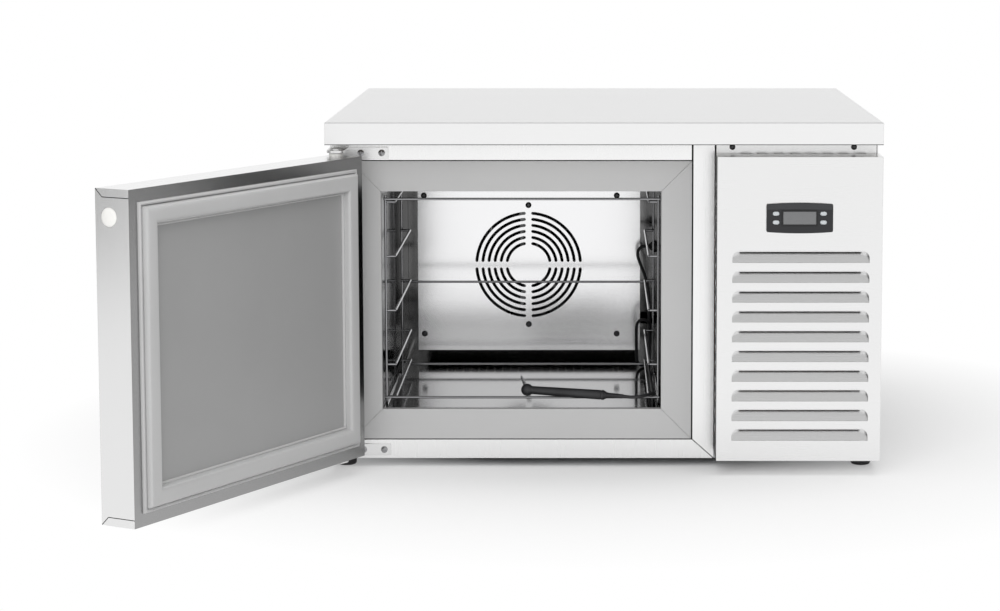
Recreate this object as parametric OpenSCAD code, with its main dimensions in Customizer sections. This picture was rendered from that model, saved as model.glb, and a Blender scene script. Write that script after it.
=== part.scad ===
// Countertop blast chiller for three gastronorm pans, shown with its door open.
// Origin: on the floor under the middle of the worktop. +X right, +Y back, +Z up.

/* [Cabinet] */
// Overall width across the worktop
cab_w = 658; // [654:1:690]
// Overall depth of the worktop
cab_d = 600; // [590:1:640]
// Overall height from the floor to the worktop
cab_h = 423; // [419:1:440]
// Height of the rubber feet
foot_h = 10; // [7:0.5:14]
// Diameter of a rubber foot
foot_dia = 24; // [18:1:30]
// Distance from a foot's middle to the cabinet's side
foot_inset_x = 16; // [13:1:30]
// Distance from a foot's middle to the base's front or back edge
foot_inset_y = 15; // [13:1:60]
// Height of the worktop's folded lip
lip_h = 27; // [20:1:34]
// Bend radius along the worktop's top edges
edge_r = 2; // [1:0.5:3]
// Thickness of the stainless sheet
sheet_t = 1; // [0.8:0.1:1.2]
// How far the housing's front lies behind the worktop's edge
setback = 55; // [55:1:60]
// Width of the machine bay on the right
bay_w = 196; // [190:1:204]

/* [Cavity] */
// Width of the cavity's mouth
mouth_w = 337; // [331:1:340]
// Height of the cavity's mouth
mouth_h = 265; // [260:1:270]
// Width of the grey collar round the mouth
collar_w = 36.5; // [34:0.5:37]
// Depth of the collar's fold into the mouth
collar_return = 8; // [4:1:14]
// Width of the front frame below the collar
sill_w = 24; // [22:1:26]
// Width of the front frame's right stile
stile_w = 27.3; // [25:0.1:28]
// Thickness of the front frame and collar
front_t = 1.5; // [1.2:0.1:2]
// Open joint between the front frame and the collar
frame_joint = 1.2; // [0.6:0.1:1.6]
// How far the liner's side walls stand outside the mouth
liner_lap_x = 2; // [2:0.5:4]
// How far the liner's floor and ceiling stand outside the mouth
liner_lap_z = 7; // [5:0.5:9]
// Corner radius of the liner
liner_r = 6; // [3:1:10]
// Thickness of the insulated back wall
wall_back = 60; // [50:1:62]
// Depth of the fan and coil space behind the baffle
plenum_d = 106; // [104:1:116]

/* [Door] */
// Length of the door
door_w = 431; // [425:1:433]
// Height of the door
door_h = 359; // [355:1:361]
// Thickness of the door
door_t = 44; // [42:0.5:44]
// Gap from the cabinet's left side to the closed door
door_side_gap = 2; // [1:0.5:4]
// Height of the door's lower edge over the base
door_base_gap = 13; // [12:0.5:14]
// Angle at which the door stands open
door_open = 119; // [0:1:180]
// Distance from the door's hinge edge to the pivot
pivot_edge = 10; // [9:0.5:14]
// Distance from the door's outer face to the pivot
pivot_face = 14; // [12:0.5:16]
// Margin of door face left round the gasket
gasket_margin = 14; // [13:0.5:15]
// Width of the gasket
gasket_w = 28; // [26:0.5:30]
// Clearance of the closed gasket to the collar
gasket_gap = 0.5; // [0.4:0.1:1]
// Diameter of the white foaming plug
plug_dia = 23; // [18:1:26]
// Distance of the plug below the door's top
plug_drop = 30; // [20:1:60]
// Distance of the plug behind the door's outer face
plug_back = 18; // [14:1:26]

/* [Hinges] */
// Diameter of the hinge pins
pin_dia = 8; // [6:0.5:10]
// Radial running clearance of a pin in its bush
pin_fit = 0.05; // [0.02:0.01:0.1]
// How deep a pin reaches into the door
pin_reach = 16; // [12:1:20]
// Outside diameter of a bush
bush_dia = 12; // [11:0.5:13]
// Diameter of a bush's flange
flange_dia = 16; // [15:0.5:20]
// Thickness of the hinge bracket
bracket_t = 3; // [2:0.5:3]
// Height of the hinge bracket's plate
bracket_h = 14; // [12:1:15]
// Length of the hinge bracket's plate
bracket_w = 65; // [60:1:70]
// Width of the hinge bracket's arm
arm_w = 22; // [20:1:26]
// Vertical gap between a bush's flange and its arm
thrust_gap = 0.4; // [0.3:0.1:0.6]

/* [Grille panel] */
// Gap between the housing and the panel's left side
panel_gap = 0.6; // [0.3:0.1:1.5]
// Height of the panel's lower edge over the base
panel_base_gap = 8; // [6:1:12]
// Height of the panel
panel_h = 364; // [360:1:365]
// Depth of the panel's folded sides
panel_return = 50; // [40:1:52]
// Number of louvres
louvre_n = 10; // [6:1:10]
// Width of a louvre
louvre_w = 162; // [140:1:170]
// Height of a louvre
louvre_h = 14.2; // [12:0.2:16]
// Distance from one louvre to the next
louvre_pitch = 23.75; // [20:0.25:24]
// Corner radius of a louvre
louvre_r = 9; // [6:0.5:10]
// How far a louvre is pressed inwards
louvre_depth = 7; // [5:0.5:9]
// Height of the first louvre's upper edge over the panel's lower edge
louvre_top = 252.6; // [250:0.2:256]
// Width of a vent slot in the panel's left side
vent_w = 30; // [20:1:36]
// Height of a vent slot in the panel's left side
vent_h = 8; // [6:0.5:12]
// Distance from one side vent slot to the next
vent_pitch = 19.5; // [16:0.5:24]
// Number of side vent slots
vent_n = 16; // [8:1:17]

/* [Controller] */
// Width of the controller's bezel
bezel_w = 78.6; // [76:0.2:84]
// Height of the controller's bezel
bezel_h = 36.2; // [35:0.2:40]
// How far the bezel stands off the panel
bezel_t = 2.5; // [2:0.1:4]
// Height of the controller's middle over the panel's lower edge
ctrl_rise = 291.8; // [284:0.2:310]
// Width of the display window
window_w = 39; // [34:0.5:42]
// Height of the display window
window_h = 15.4; // [12:0.2:18]
// Width of a key
key_w = 8; // [6:0.2:9]
// Height of a key
key_h = 5; // [4:0.2:6]
// Sideways distance of the keys from the controller's middle
key_x = 28; // [27:0.2:29]
// Vertical distance of the keys from the controller's middle
key_z = 5.2; // [5:0.1:5.6]
// Travel of a key
key_travel = 0.8; // [0.4:0.1:1]
// Clearance round a key
key_gap = 0.3; // [0.3:0.05:0.4]

/* [Fan baffle] */
// Diameter of the innermost ring of slots
ring_dia = 58.4; // [50:0.2:62]
// Distance from one ring of slots to the next
ring_pitch = 8.16; // [7:0.02:8.5]
// Number of rings of slots
ring_n = 6; // [3:1:6]
// Width of a slot
slot_w = 3.8; // [2:0.1:5]
// Width of the spokes between the slots
spoke_w = 7.2; // [5:0.2:12]
// Height of the fan's middle over the cavity floor
fan_rise = 132; // [128:1:136]
// Diameter of the cavity fan
fan_dia = 148; // [120:1:152]
// Number of blades on the cavity fan
fan_blades = 7; // [4:1:9]

/* [Wire rack] */
// Diameter of the rack's wire
wire_dia = 3; // [2.5:0.1:4]
// Number of pan levels with a ledge
ledge_n = 4; // [2:1:4]
// Distance from one ledge to the next
ledge_pitch = 66.5; // [60:0.5:67]
// Height of the lowest ledge over the cavity floor
ledge_rise = 56.4; // [50:0.2:60]
// Height of the base wires over the cavity floor
base_rise = 16.4; // [14:0.2:20]
// Depth of the rack from front to rear uprights
rack_d = 265; // [240:1:270]
// Clearance from an upright's middle to the liner's wall
upright_gap = 5; // [4:0.2:6]
// How far a ledge stands in from the uprights
ledge_in = 11.2; // [8:0.2:13]

/* [Core probe] */
// Length of the probe's handle
handle_l = 104; // [90:1:106]
// Diameter of the probe's handle
handle_dia = 12; // [9:0.5:12]
// Length of the probe's needle
needle_l = 80; // [60:1:90]
// Diameter of the needle at its root
needle_dia = 4.5; // [3:0.1:5]
// Length of the probe's strain relief
relief_l = 22; // [18:1:24]
// Diameter of the probe's lead
lead_dia = 4; // [3.6:0.1:4.2]

/* [Condensing unit] */
// Diameter of the compressor's shell
comp_dia = 150; // [130:1:156]
// Height of the compressor's shell
comp_h = 170; // [150:1:190]
// Height of the compressor's rubber mounts
mount_h = 14; // [10:1:20]
// Height of the condenser
cond_h = 210; // [190:1:230]
// Depth of the condenser
cond_d = 42; // [40:1:46]
// Diameter of the condenser fan
cond_fan_dia = 150; // [120:1:154]
// Diameter of the refrigerant pipes
pipe_dia = 8; // [6:0.5:9]

/* [Hidden] */
$fn = 48;
fine = 96;       // sides of the larger rounds
soft = 32;       // sides inside a hull
cut = 1;         // how far a cutter runs past a face

// Main planes of the cabinet
side_in = 1;                           // side panels lie this far inside the worktop's lip
x_left = -cab_w / 2 + side_in;
x_right = cab_w / 2 - side_in;
x_bay = cab_w / 2 - bay_w;             // right face of the insulated housing
y_front = -cab_d / 2;
y_back = cab_d / 2;
y_skin = y_front + setback;            // face of the front frame and collar
y_foam = y_skin + front_t;
z_base = foot_h;
z_deck = cab_h - lip_h;                // underside of the worktop

// Mouth and liner
mouth_x1 = x_bay - stile_w - collar_w;
mouth_x0 = mouth_x1 - mouth_w;
mouth_z0 = z_base + sill_w + collar_w;
mouth_z1 = mouth_z0 + mouth_h;
cav_x0 = mouth_x0 - liner_lap_x;
cav_x1 = mouth_x1 + liner_lap_x;
cav_z0 = mouth_z0 - liner_lap_z;
cav_z1 = mouth_z1 + liner_lap_z;
cav_y1 = y_back - wall_back;

// Door, as it lies when closed
door_x0 = -cab_w / 2 + door_side_gap;
door_x1 = door_x0 + door_w;
door_z0 = z_base + door_base_gap;
door_z1 = door_z0 + door_h;
door_y1 = y_front + door_t;
pivot_x = door_x0 + pivot_edge;
pivot_y = y_front + pivot_face;
gasket_h = setback - door_t - gasket_gap;
bore_r = pin_dia / 2 + pin_fit;

// Grille panel and controller, which lie a little off the panel's middle
ctrl_off = -0.4;
louvre_off = 1.6;
panel_x0 = x_bay + panel_gap;
panel_x1 = cab_w / 2;
panel_xm = (panel_x0 + panel_x1) / 2;
panel_z0 = z_base + panel_base_gap;
panel_z1 = panel_z0 + panel_h;
ctrl_x = panel_xm + ctrl_off;
ctrl_z = panel_z0 + ctrl_rise;
body_w = bezel_w - 7.6;
body_h = bezel_h - 7.2;
key_flange = 1;
pocket_d = key_gap + key_flange + key_travel + key_gap;

// Baffle, fan and coil
baf_t = 1.2;
baf_fold = 14;                         // depth of the baffle's folded sides
baf_y = cav_y1 - plenum_d;
baf_x0 = cav_x0 + 20.4;
baf_x1 = cav_x1 - 20.7;
baf_z0 = cav_z0 + 15.4;
baf_z1 = cav_z1 - 2;
fan_x = (cav_x0 + cav_x1) / 2 - 0.7;
fan_z = cav_z0 + fan_rise;
fan_hub = 44;
shaft_dia = 5;
shaft_fit = 0.05;
strap_y = baf_y + 30;
strap_t = 2;
strap_w = 24;
strap_half = 88;                       // half height of the motor strap
motor_dia = 66;
motor_l = 34;
frame_l = baf_x0 + 5;                  // plate that screens the coil on the left
frame_r = baf_x1 - 28.2;               // right end plate of the coil
coil_l = frame_l + 28;                 // left end of the fins
coil_d = 33;
coil_z0 = baf_z0 + 14;
coil_rows = 6;
coil_pitch = 34;
coil_tube = 9.5;
fin_t = 0.6;
fin_pitch = 11;
row_gap = 17;

// Wire rack
up_x0 = cav_x0 + upright_gap;
up_x1 = cav_x1 - upright_gap;
up_y0 = y_skin + 29;
up_y1 = up_y0 + rack_d;
weld = wire_dia - 0.4;                 // distance between the axes of two welded wires
rack_top = cav_z0 + ledge_rise + (ledge_n - 1) * ledge_pitch + 8;

// Condensing unit in the bay
bay_xm = (x_bay + x_right - sheet_t) / 2;
bay_floor = z_base + sheet_t;
cond_x0 = x_bay + 12;
cond_x1 = x_right - 12;
cond_y0 = y_skin + 22;
cond_z0 = bay_floor + 2;
cond_rows = 6;
cond_pitch = 34;
shroud_y = cond_y0 + cond_d + 0.4;
cfan_z = cond_z0 + cond_h / 2;
comp_back = 120;                       // from the compressor's middle to the back
comp_y = y_back - comp_back;
comp_z0 = bay_floor + mount_h;
comp_foot = [156, 116, 3];             // the compressor's pressed foot plate
comp_bolt = [68, 48];                  // half the distances between its mounts
comp_shoulder = 34;                    // radius of the shell's shoulders
comp_case = [60, 40, 50];              // its terminal box
comp_port_x = 40;                      // sideways distance of its two ports
comp_port_out = 4;                     // how far the ports stand out of the shell
comp_port_z = comp_h * 0.6;
mid_gap = 95;                          // from the shell to the middle of the free strip ahead of it
mid_y = comp_y - comp_dia / 2 - mid_gap;

// Core probe: its handle lies across the rack's front base wire
probe_x = -99.2;
probe_y = -214;
probe_turn = -12.3;
probe_tilt = 1.65;
probe_way = [cos(probe_tilt) * cos(probe_turn), cos(probe_tilt) * sin(probe_turn),
    -sin(probe_tilt)];
handle_z = cav_z0 + base_rise + (wire_dia + handle_dia) / 2 + 1.35;
gland_y = 100;
gland_z = 225;
gland_l = 10;

// Points of the lead, from the gland to the strain relief
lead_z = 65.8;
lead_pts = [
    [61.2, 100, 225], [56, 100, 225], [51.3, 100, 223.7], [47.9, 100, 220.3],
    [46.6, 100, 215.6], [47.2, 100, 209.5], [50.6, 100, 200], [56.6, 100, 184], [61, 100, 163], [62, 100, 133], [62.3, 99.5, 103],
    [62.2, 99, 87], [62, 99, 78.5], [60.4, 97.2, 71], [56.1, 92.4, 66.4], [50.9, 86.6, 66.4],
    [46.6, 81.8, 71], [45, 80, 78.5], [44.8, 77, 88], [44.6, 70, 102], [44.4, 64, 115],
    [44.8, 60.5, 123.6], [46, 58.6, 128.2], [49.2, 57.2, 131.5], [53.5, 56.7, 132.7],
    [57.8, 57.2, 131.5], [61, 58.6, 128.2], [62.2, 60.5, 123.6], [62.6, 65, 113], [62.4, 69.5, 100], [62.4, 73, 90], [62.2, 72, 79], [61.8, 66, 69.5], [61.3, 55, 66],
    [61, 38, lead_z], [61.5, 0, lead_z], [62, -70, lead_z], [62.2, -135, lead_z],
    [62.3, -165, 68.5], [62.3, -188, 76], [62, -206, 82.5], [59.6, -220, 85],
    [54, -232, 85.6], [45, -240.4, 85], [34, -242.8, 84.5]];

// Rounded plate outlines, drawn from squares and true arcs
module plate2d(w, h, r) {
    square([w - 2 * r, h], center = true);
    square([w, h - 2 * r], center = true);
    for (sx = [-1, 1], sy = [-1, 1]) translate([sx * (w / 2 - r), sy * (h / 2 - r)]) circle(r);
}

module slot2d(l, w) {
    square([l - w, w], center = true);
    for (s = [-1, 1]) translate([s * (l - w) / 2, 0]) circle(w / 2);
}

// A box given by its two corners
module block(p, q) translate(p) cube(q - p);

// Turns a drawing in X and Z into a solid that runs from y0 to y1
module along_y(y0, y1) translate([0, y1, 0]) rotate([90, 0, 0]) linear_extrude(y1 - y0) children();

// Turns a drawing in Y and Z into a solid that runs from x0 to x1
module along_x(x0, x1) translate([x0, 0, 0]) rotate([90, 0, 90]) linear_extrude(x1 - x0) children();

// A round bar between two points, drawn from the lower one
module rod(p, q, d) {
    v = q[2] < p[2] ? p - q : q - p;
    translate(q[2] < p[2] ? q : p) rotate([0, acos(v[2] / norm(v)), atan2(v[1], v[0])])
        cylinder(d = d, h = norm(v));
}

// A bent bar: straight stretches with a ball at each bend
module bent(pts, d, ball) {
    for (i = [0:len(pts) - 2]) rod(pts[i], pts[i + 1], d);
    for (i = [1:len(pts) - 2]) translate(pts[i]) sphere(d = ball);
}

// A folded lid with bends along its four top edges; its lower face is at z = 0
module lid(w, d, h, r) {
    intersection() {
        along_x(-w / 2, w / 2) translate([0, h / 2]) lid2d(d, h, r);
        along_y(-d / 2, d / 2) translate([0, h / 2]) lid2d(w, h, r);
    }
}

module lid2d(w, h, r) {
    translate([-w / 2, -h / 2]) square([w, h - r]);
    translate([-w / 2 + r, -h / 2]) square([w - 2 * r, h]);
    for (s = [-1, 1]) translate([s * (w / 2 - r), h / 2 - r]) circle(r);
}

// A frame swept round a rectangle with mitred corners; profile points are [inwards, outwards]
module mitred_frame(w, h, profile) {
    n = len(profile);
    corners = [[-1, -1], [1, -1], [1, 1], [-1, 1]];
    pts = [for (c = corners, p = profile) [c[0] * (w / 2 - p[0]), c[1] * (h / 2 - p[0]), p[1]]];
    faces = [for (k = [0:3], i = [0:n - 1]) let(a = k * n, b = ((k + 1) % 4) * n, j = (i + 1) % n)
        each [[a + i, a + j, b + j], [a + i, b + j, b + i]]];
    polyhedron(pts, faces);
}

// Dome-headed screw on a face that looks towards the front
module front_screw(x, y, z, head_d, head_h) translate([x, y, z]) rotate([90, 0, 0])
    difference() {
        intersection() {
            cylinder(d = head_d, h = head_h);
            translate([0, 0, head_h - head_d * 0.72]) sphere(d = head_d * 1.44, $fn = fine);
        }
        for (a = [0, 90]) rotate(a) translate([-head_d * 0.28, -0.6, head_h * 0.5])
            cube([head_d * 0.56, 1.2, head_h]);
    }

// Shell of the cabinet
module worktop() color("gainsboro") translate([0, 0, z_deck]) difference() {
    lid(cab_w, cab_d, lip_h, edge_r);
    translate([0, 0, -sheet_t])
        lid(cab_w - 2 * sheet_t, cab_d - 2 * sheet_t, lip_h, max(edge_r - sheet_t, 0.2));
}

module worktop_core() color("burlywood") translate([0, 0, z_deck])
    lid(cab_w - 2 * sheet_t, cab_d - 2 * sheet_t, lip_h - sheet_t, max(edge_r - sheet_t, 0.2));

module left_side_panel() color("silver")
    block([x_left, y_foam, z_base], [x_left + sheet_t, y_back - sheet_t, z_deck]);

module right_side_panel() color("silver")
    block([x_right - sheet_t, y_skin - 2, z_base], [x_right, y_back - sheet_t, z_deck]);

// The base carries the housing, and is folded up round the machine bay
base_fold = 14;
base_slots = 5;
base_slot_pitch = 12;
base_slot_l = 90;
base_slot_w = 5;
module base_pan() color("silver") difference() {
    union() {
        block([x_left + sheet_t, y_foam, z_base],
            [x_right - sheet_t, y_back - sheet_t, z_base + sheet_t]);
        block([x_bay, y_foam, z_base],
            [x_right - sheet_t, y_foam + sheet_t, z_base + base_fold]);
        block([x_right - 2 * sheet_t, y_foam, z_base],
            [x_right - sheet_t, y_back - sheet_t, z_base + base_fold]);
    }
    for (i = [0:base_slots - 1]) translate([bay_xm, mid_y + i * base_slot_pitch, z_base - cut])
        linear_extrude(sheet_t + 2 * cut) slot2d(base_slot_l, base_slot_w);
}

module divider_panel() color("silver") difference() {
    block([x_bay - sheet_t, y_foam, bay_floor], [x_bay, y_back - sheet_t, z_deck]);
    pipe_ports(x_bay - sheet_t - cut, x_bay + cut);
}

// Clearance holes for the two pipes between the coil and the bay
module pipe_ports(x0, x1) for (y = [coil_y(0), coil_y(1)])
    translate([x0, y, coil_z(0)]) rotate([0, 90, 0]) cylinder(d = pipe_dia + 1, h = x1 - x0);

rear_vent_n = 8;
rear_vent_drop = 60;                   // from the worktop to the first slot
rear_vent_pitch = 18;
rear_vent_l = 120;
rear_vent_w = 7;
module back_panel() color("silver") difference() {
    block([x_left, y_back - sheet_t, z_base], [x_right, y_back, z_deck]);
    for (i = [0:rear_vent_n - 1])
        translate([bay_xm, 0, z_deck - rear_vent_drop - i * rear_vent_pitch])
            along_y(y_back - sheet_t - cut, y_back + cut) slot2d(rear_vent_l, rear_vent_w);
    translate([gland_px, y_back - sheet_t - cut, gland_pz]) rotate([-90, 0, 0])
        cylinder(d = power_neck, h = sheet_t + 2 * cut);
}

module insulation() color("lightyellow") difference() {
    block([x_left + sheet_t, y_foam, bay_floor],
        [x_bay - sheet_t, y_back - sheet_t, z_deck]);
    block([cav_x0 - sheet_t, y_foam - cut, cav_z0 - sheet_t],
        [cav_x1 + sheet_t, cav_y1 + sheet_t, cav_z1 + sheet_t]);
    pipe_ports(cav_x1, x_bay);
    translate([cav_x1, gland_y, gland_z]) rotate([0, 90, 0]) cylinder(d = 8, h = 14);
}

module cavity_liner() color("lightgrey") difference() {
    block([cav_x0 - sheet_t, y_foam, cav_z0 - sheet_t],
        [cav_x1 + sheet_t, cav_y1 + sheet_t, cav_z1 + sheet_t]);
    translate([(cav_x0 + cav_x1) / 2, 0, (cav_z0 + cav_z1) / 2])
        along_y(y_foam - cut, cav_y1) plate2d(cav_x1 - cav_x0, cav_z1 - cav_z0, liner_r);
    pipe_ports(cav_x1 - cut, cav_x1 + sheet_t + cut);
    translate([cav_x1 - cut, gland_y, gland_z]) rotate([0, 90, 0])
        cylinder(d = 8, h = sheet_t + 2 * cut);
}

// Shallow groove that marks a mitre, from an outer to an inner corner and past both
mitre_w = 0.6;
mitre_deep = 0.4;
module mitre(p, q) translate([p[0], y_skin - cut, p[1]]) rotate([0, -atan2(q[1] - p[1], q[0] - p[0]), 0])
    translate([-cut, 0, -mitre_w / 2]) cube([norm(q - p) + 2 * cut, cut + mitre_deep, mitre_w]);

module front_frame() color("gainsboro") {
    x0 = mouth_x0 - collar_w - frame_joint;
    x1 = mouth_x1 + collar_w + frame_joint;
    z0 = mouth_z0 - collar_w - frame_joint;
    z1 = mouth_z1 + collar_w + frame_joint;
    difference() {
        block([x_left, y_skin, z_base], [x_bay, y_foam, z_deck]);
        block([x0, y_skin - cut, z0], [x1, y_foam + cut, z1]);
        mitre([x_left, z_base], [x0, z0]);
        mitre([x1, z0], [x_bay, z_base]);
    }
}

module mouth_collar() color("darkgrey") {
    x0 = mouth_x0 - collar_w;
    x1 = mouth_x1 + collar_w;
    z0 = mouth_z0 - collar_w;
    z1 = mouth_z1 + collar_w;
    difference() {
        union() {
            block([x0, y_skin, z0], [x1, y_foam, z1]);
            block([mouth_x0 - sheet_t, y_skin, mouth_z0 - sheet_t],
                [mouth_x1 + sheet_t, y_foam + collar_return, mouth_z1 + sheet_t]);
        }
        block([mouth_x0, y_skin - cut, mouth_z0],
            [mouth_x1, y_foam + collar_return + cut, mouth_z1]);
        mitre([x0, z0], [mouth_x0, mouth_z0]);
        mitre([mouth_x1, mouth_z0], [x1, z0]);
        mitre([x0, z1], [mouth_x0, mouth_z1]);
        mitre([mouth_x1, mouth_z1], [x1, z1]);
    }
}

module feet() color("dimgrey")
    for (sx = [-1, 1], sy = [-1, 1])
        translate([sx * (cab_w / 2 - foot_inset_x),
            sy < 0 ? y_skin + foot_inset_y : y_back - foot_inset_y, 0])
            rotate_extrude($fn = fine) {
                square([foot_dia / 2 - 3, foot_h]);
                translate([0, 3]) square([foot_dia / 2, foot_h - 3]);
                translate([foot_dia / 2 - 3, 3]) circle(3);
            }

// Louvred panel in front of the machine bay
flange_slots = 8;
flange_start = 36;                     // from the panel's left side to the first slot above
vent_start = 34;                       // from the panel's foot to the first slot in its side
louvre_slope = louvre_depth / louvre_h;

module louvre_outline(grow) {
    w = louvre_w / 2 + grow;
    r = louvre_r + grow;
    intersection() {
        union() {
            translate([-w, -grow]) square([2 * w, louvre_h - louvre_r + grow]);
            translate([-w + r, -grow]) square([2 * (w - r), louvre_h + 2 * grow]);
            for (s = [-1, 1]) translate([s * (w - r), louvre_h - louvre_r]) circle(r);
        }
        translate([-w, -grow]) square([2 * w, louvre_h + grow]);
    }
}

// The scoop between the sheet and a plane that slopes inwards from the louvre's lower edge
module louvre_scoop(grow) intersection() {
    along_y(-cut, louvre_depth + 2 * grow) louvre_outline(grow);
    along_x(-louvre_w, louvre_w) polygon([[-cut, -grow], [sheet_t, -grow],
        [sheet_t + grow + louvre_depth, louvre_h], [-cut, louvre_h]]);
}

module grille_panel() color("gainsboro") difference() {
    union() {
        block([panel_x0, y_front, panel_z0], [panel_x1, y_front + sheet_t, panel_z1]);
        for (x = [panel_x0, panel_x1 - sheet_t])
            block([x, y_front, panel_z0], [x + sheet_t, y_front + panel_return, panel_z1]);
        for (z = [panel_z0, panel_z1 - sheet_t])
            block([panel_x0, y_front, z], [panel_x1, y_front + panel_return, z + sheet_t]);
        block([panel_x0 + 1, y_front + panel_return - sheet_t, panel_z1 - sheet_t],
            [x_right - 2, y_front + panel_return, z_deck - 0.6]);
        for (i = [0:louvre_n - 1]) intersection() {
            louvre_at(i) louvre_scoop(sheet_t);
            block([panel_x0, y_front, panel_z0], [panel_x1, y_front + panel_return, panel_z1]);
        }
    }
    for (i = [0:louvre_n - 1]) louvre_at(i) louvre_scoop(0);
    for (i = [0:vent_n - 1])
        translate([0, y_front + panel_return / 2, panel_z0 + vent_start + i * vent_pitch])
            along_x(panel_x0 - cut, panel_x0 + sheet_t + cut) slot2d(vent_w, vent_h);
    for (i = [0:flange_slots - 1])
        translate([panel_x0 + flange_start + i * vent_pitch, y_front + panel_return - 8,
            panel_z1 - sheet_t - cut]) linear_extrude(sheet_t + 2 * cut) slot2d(14, 9);
    block([ctrl_x - body_w / 2 - 0.3, y_front - cut, ctrl_z - body_h / 2 - 0.3],
        [ctrl_x + body_w / 2 + 0.3, y_front + sheet_t + cut, ctrl_z + body_h / 2 + 0.3]);
}

module louvre_at(i) translate([panel_xm + louvre_off, y_front,
    panel_z0 + louvre_top - louvre_h - i * louvre_pitch]) children();

// Angle under the worktop that the panel's upper lip is screwed to
rail_y = y_front + panel_return;
module panel_rail() color("silver") {
    block([x_bay + 2, rail_y, z_deck - 13], [x_right - 2, rail_y + sheet_t, z_deck]);
    block([x_bay + 2, rail_y, z_deck - sheet_t], [x_right - 2, rail_y + 16, z_deck]);
}

module panel_screws() color("dimgrey") for (x = [panel_x0 + 20, panel_x1 - 30])
    front_screw(x, rail_y - sheet_t, z_deck - 6.5, 7, 2.6);

// Controller
module bezel2d(w, h, bow) {
    r = (w * w / 4 + bow * bow) / (2 * bow);
    intersection() {
        plate2d(w, h, 4);
        translate([0, h / 2 - r]) circle(r, $fn = 720);
        translate([0, r - h / 2]) circle(r, $fn = 720);
    }
}

module at_keys() for (sx = [-1, 1], sz = [-1, 1]) translate([sx * key_x, sz * key_z]) children();

module controller_bezel() color("darkslategrey") translate([ctrl_x, 0, ctrl_z])
    along_y(y_front - bezel_t, y_front) difference() {
        bezel2d(bezel_w, bezel_h, 1.6);
        square([window_w, window_h], center = true);
        at_keys() slot2d(key_w + 2 * key_gap, key_h + 2 * key_gap);
    }

module controller_body() color("dimgrey") translate([ctrl_x, 0, ctrl_z]) difference() {
    block([-body_w / 2, y_front, -body_h / 2], [body_w / 2, y_skin - 2, body_h / 2]);
    along_y(y_front - cut, y_front + pocket_d)
        at_keys() slot2d(key_w + 2 + 2 * key_gap, key_h + 2 + 2 * key_gap);
}

module display_window() color("lightslategrey") translate([ctrl_x, 0, ctrl_z])
    along_y(y_front - bezel_t + 0.4, y_front) square([window_w, window_h], center = true);

module key(sx, sz) color("lightgrey") translate([ctrl_x + sx * key_x, 0, ctrl_z + sz * key_z]) {
    along_y(y_front - bezel_t - 0.6, y_front + key_gap + key_flange) slot2d(key_w, key_h);
    along_y(y_front + key_gap, y_front + key_gap + key_flange) slot2d(key_w + 2, key_h + 2);
}

// Puts a piece of the closed door where it stands when the door is open
module hung() translate([pivot_x, pivot_y, 0]) rotate(-door_open) translate([-pivot_x, -pivot_y, 0])
    children();

module door_bores(r, top_l, low_l) {
    translate([pivot_x, pivot_y, door_z1 - top_l]) cylinder(r = r, h = top_l + cut);
    translate([pivot_x, pivot_y, door_z0 - cut]) cylinder(r = r, h = low_l + cut);
}

bush_l = pin_reach + 4;

// Outer skin: face and four sides, folded in round the gasket
module door_outer_pan() color("gainsboro") hung() difference() {
    block([door_x0, y_front, door_z0], [door_x1, door_y1, door_z1]);
    block([door_x0 + sheet_t, y_front + sheet_t, door_z0 + sheet_t],
        [door_x1 - sheet_t, door_y1 - sheet_t, door_z1 - sheet_t]);
    block([door_x0 + gasket_margin + 4, y_front + 2 * sheet_t, door_z0 + gasket_margin + 4],
        [door_x1 - gasket_margin - 4, door_y1 + cut, door_z1 - gasket_margin - 4]);
    door_bores(bush_dia / 2, bush_l, bush_l);
    at_plug() cylinder(d = plug_dia - 4, h = 2 * plug_l, center = true);
    for (z = [door_z0, door_z1]) flap_seams(z);
}

plug_l = 10;

// Folded flaps on the free end show a seam with slanting ends
flap_h = 9;
module flap_seams(z) {
    s = z == door_z0 ? 1 : -1;
    for (e = [0, 1]) translate([door_x1, e == 0 ? y_front : door_y1, z])
        rotate([(e == 0 ? 1 : -1) * s * 45, 0, 0])
            translate([-0.25, -0.2, s > 0 ? 0 : -flap_h * sqrt(2)])
                cube([cut, 0.4, flap_h * sqrt(2)]);
    translate([door_x1 - 0.25, y_front + flap_h, z + s * flap_h - 0.2])
        cube([cut, door_t - 2 * flap_h, 0.4]);
}

module at_plug() translate([door_x1, y_front + plug_back, door_z1 - plug_drop])
    rotate([0, 90, 0]) children();

module door_insulation() color("lightyellow") hung() difference() {
    block([door_x0 + sheet_t, y_front + sheet_t, door_z0 + sheet_t],
        [door_x1 - sheet_t, door_y1 - 2 * sheet_t, door_z1 - sheet_t]);
    door_bores(bush_dia / 2, bush_l, bush_l);
    at_plug() cylinder(d = plug_dia - 4, h = 2 * plug_l, center = true);
}

module door_inner_panel() color("grey") hung()
    block([door_x0 + sheet_t, door_y1 - 2 * sheet_t, door_z0 + sheet_t],
        [door_x1 - sheet_t, door_y1 - sheet_t, door_z1 - sheet_t]);

// Magnetic gasket: an outer bead, a groove, a broad flat-topped bulge and a thin inner lip
bulge_n = 12;
bulge_flat = 0.55;                     // the lower, the flatter the bulge's top
module door_gasket() color("whitesmoke") hung()
    translate([(door_x0 + door_x1) / 2, door_y1 - sheet_t, (door_z0 + door_z1) / 2])
    rotate([-90, 0, 0]) mitred_frame(door_w - 2 * gasket_margin, door_h - 2 * gasket_margin,
        [for (p = gasket_profile()) [p[0] * gasket_w, p[1] < 0 ? 0 : sheet_t + p[1] * gasket_h]]);

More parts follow.
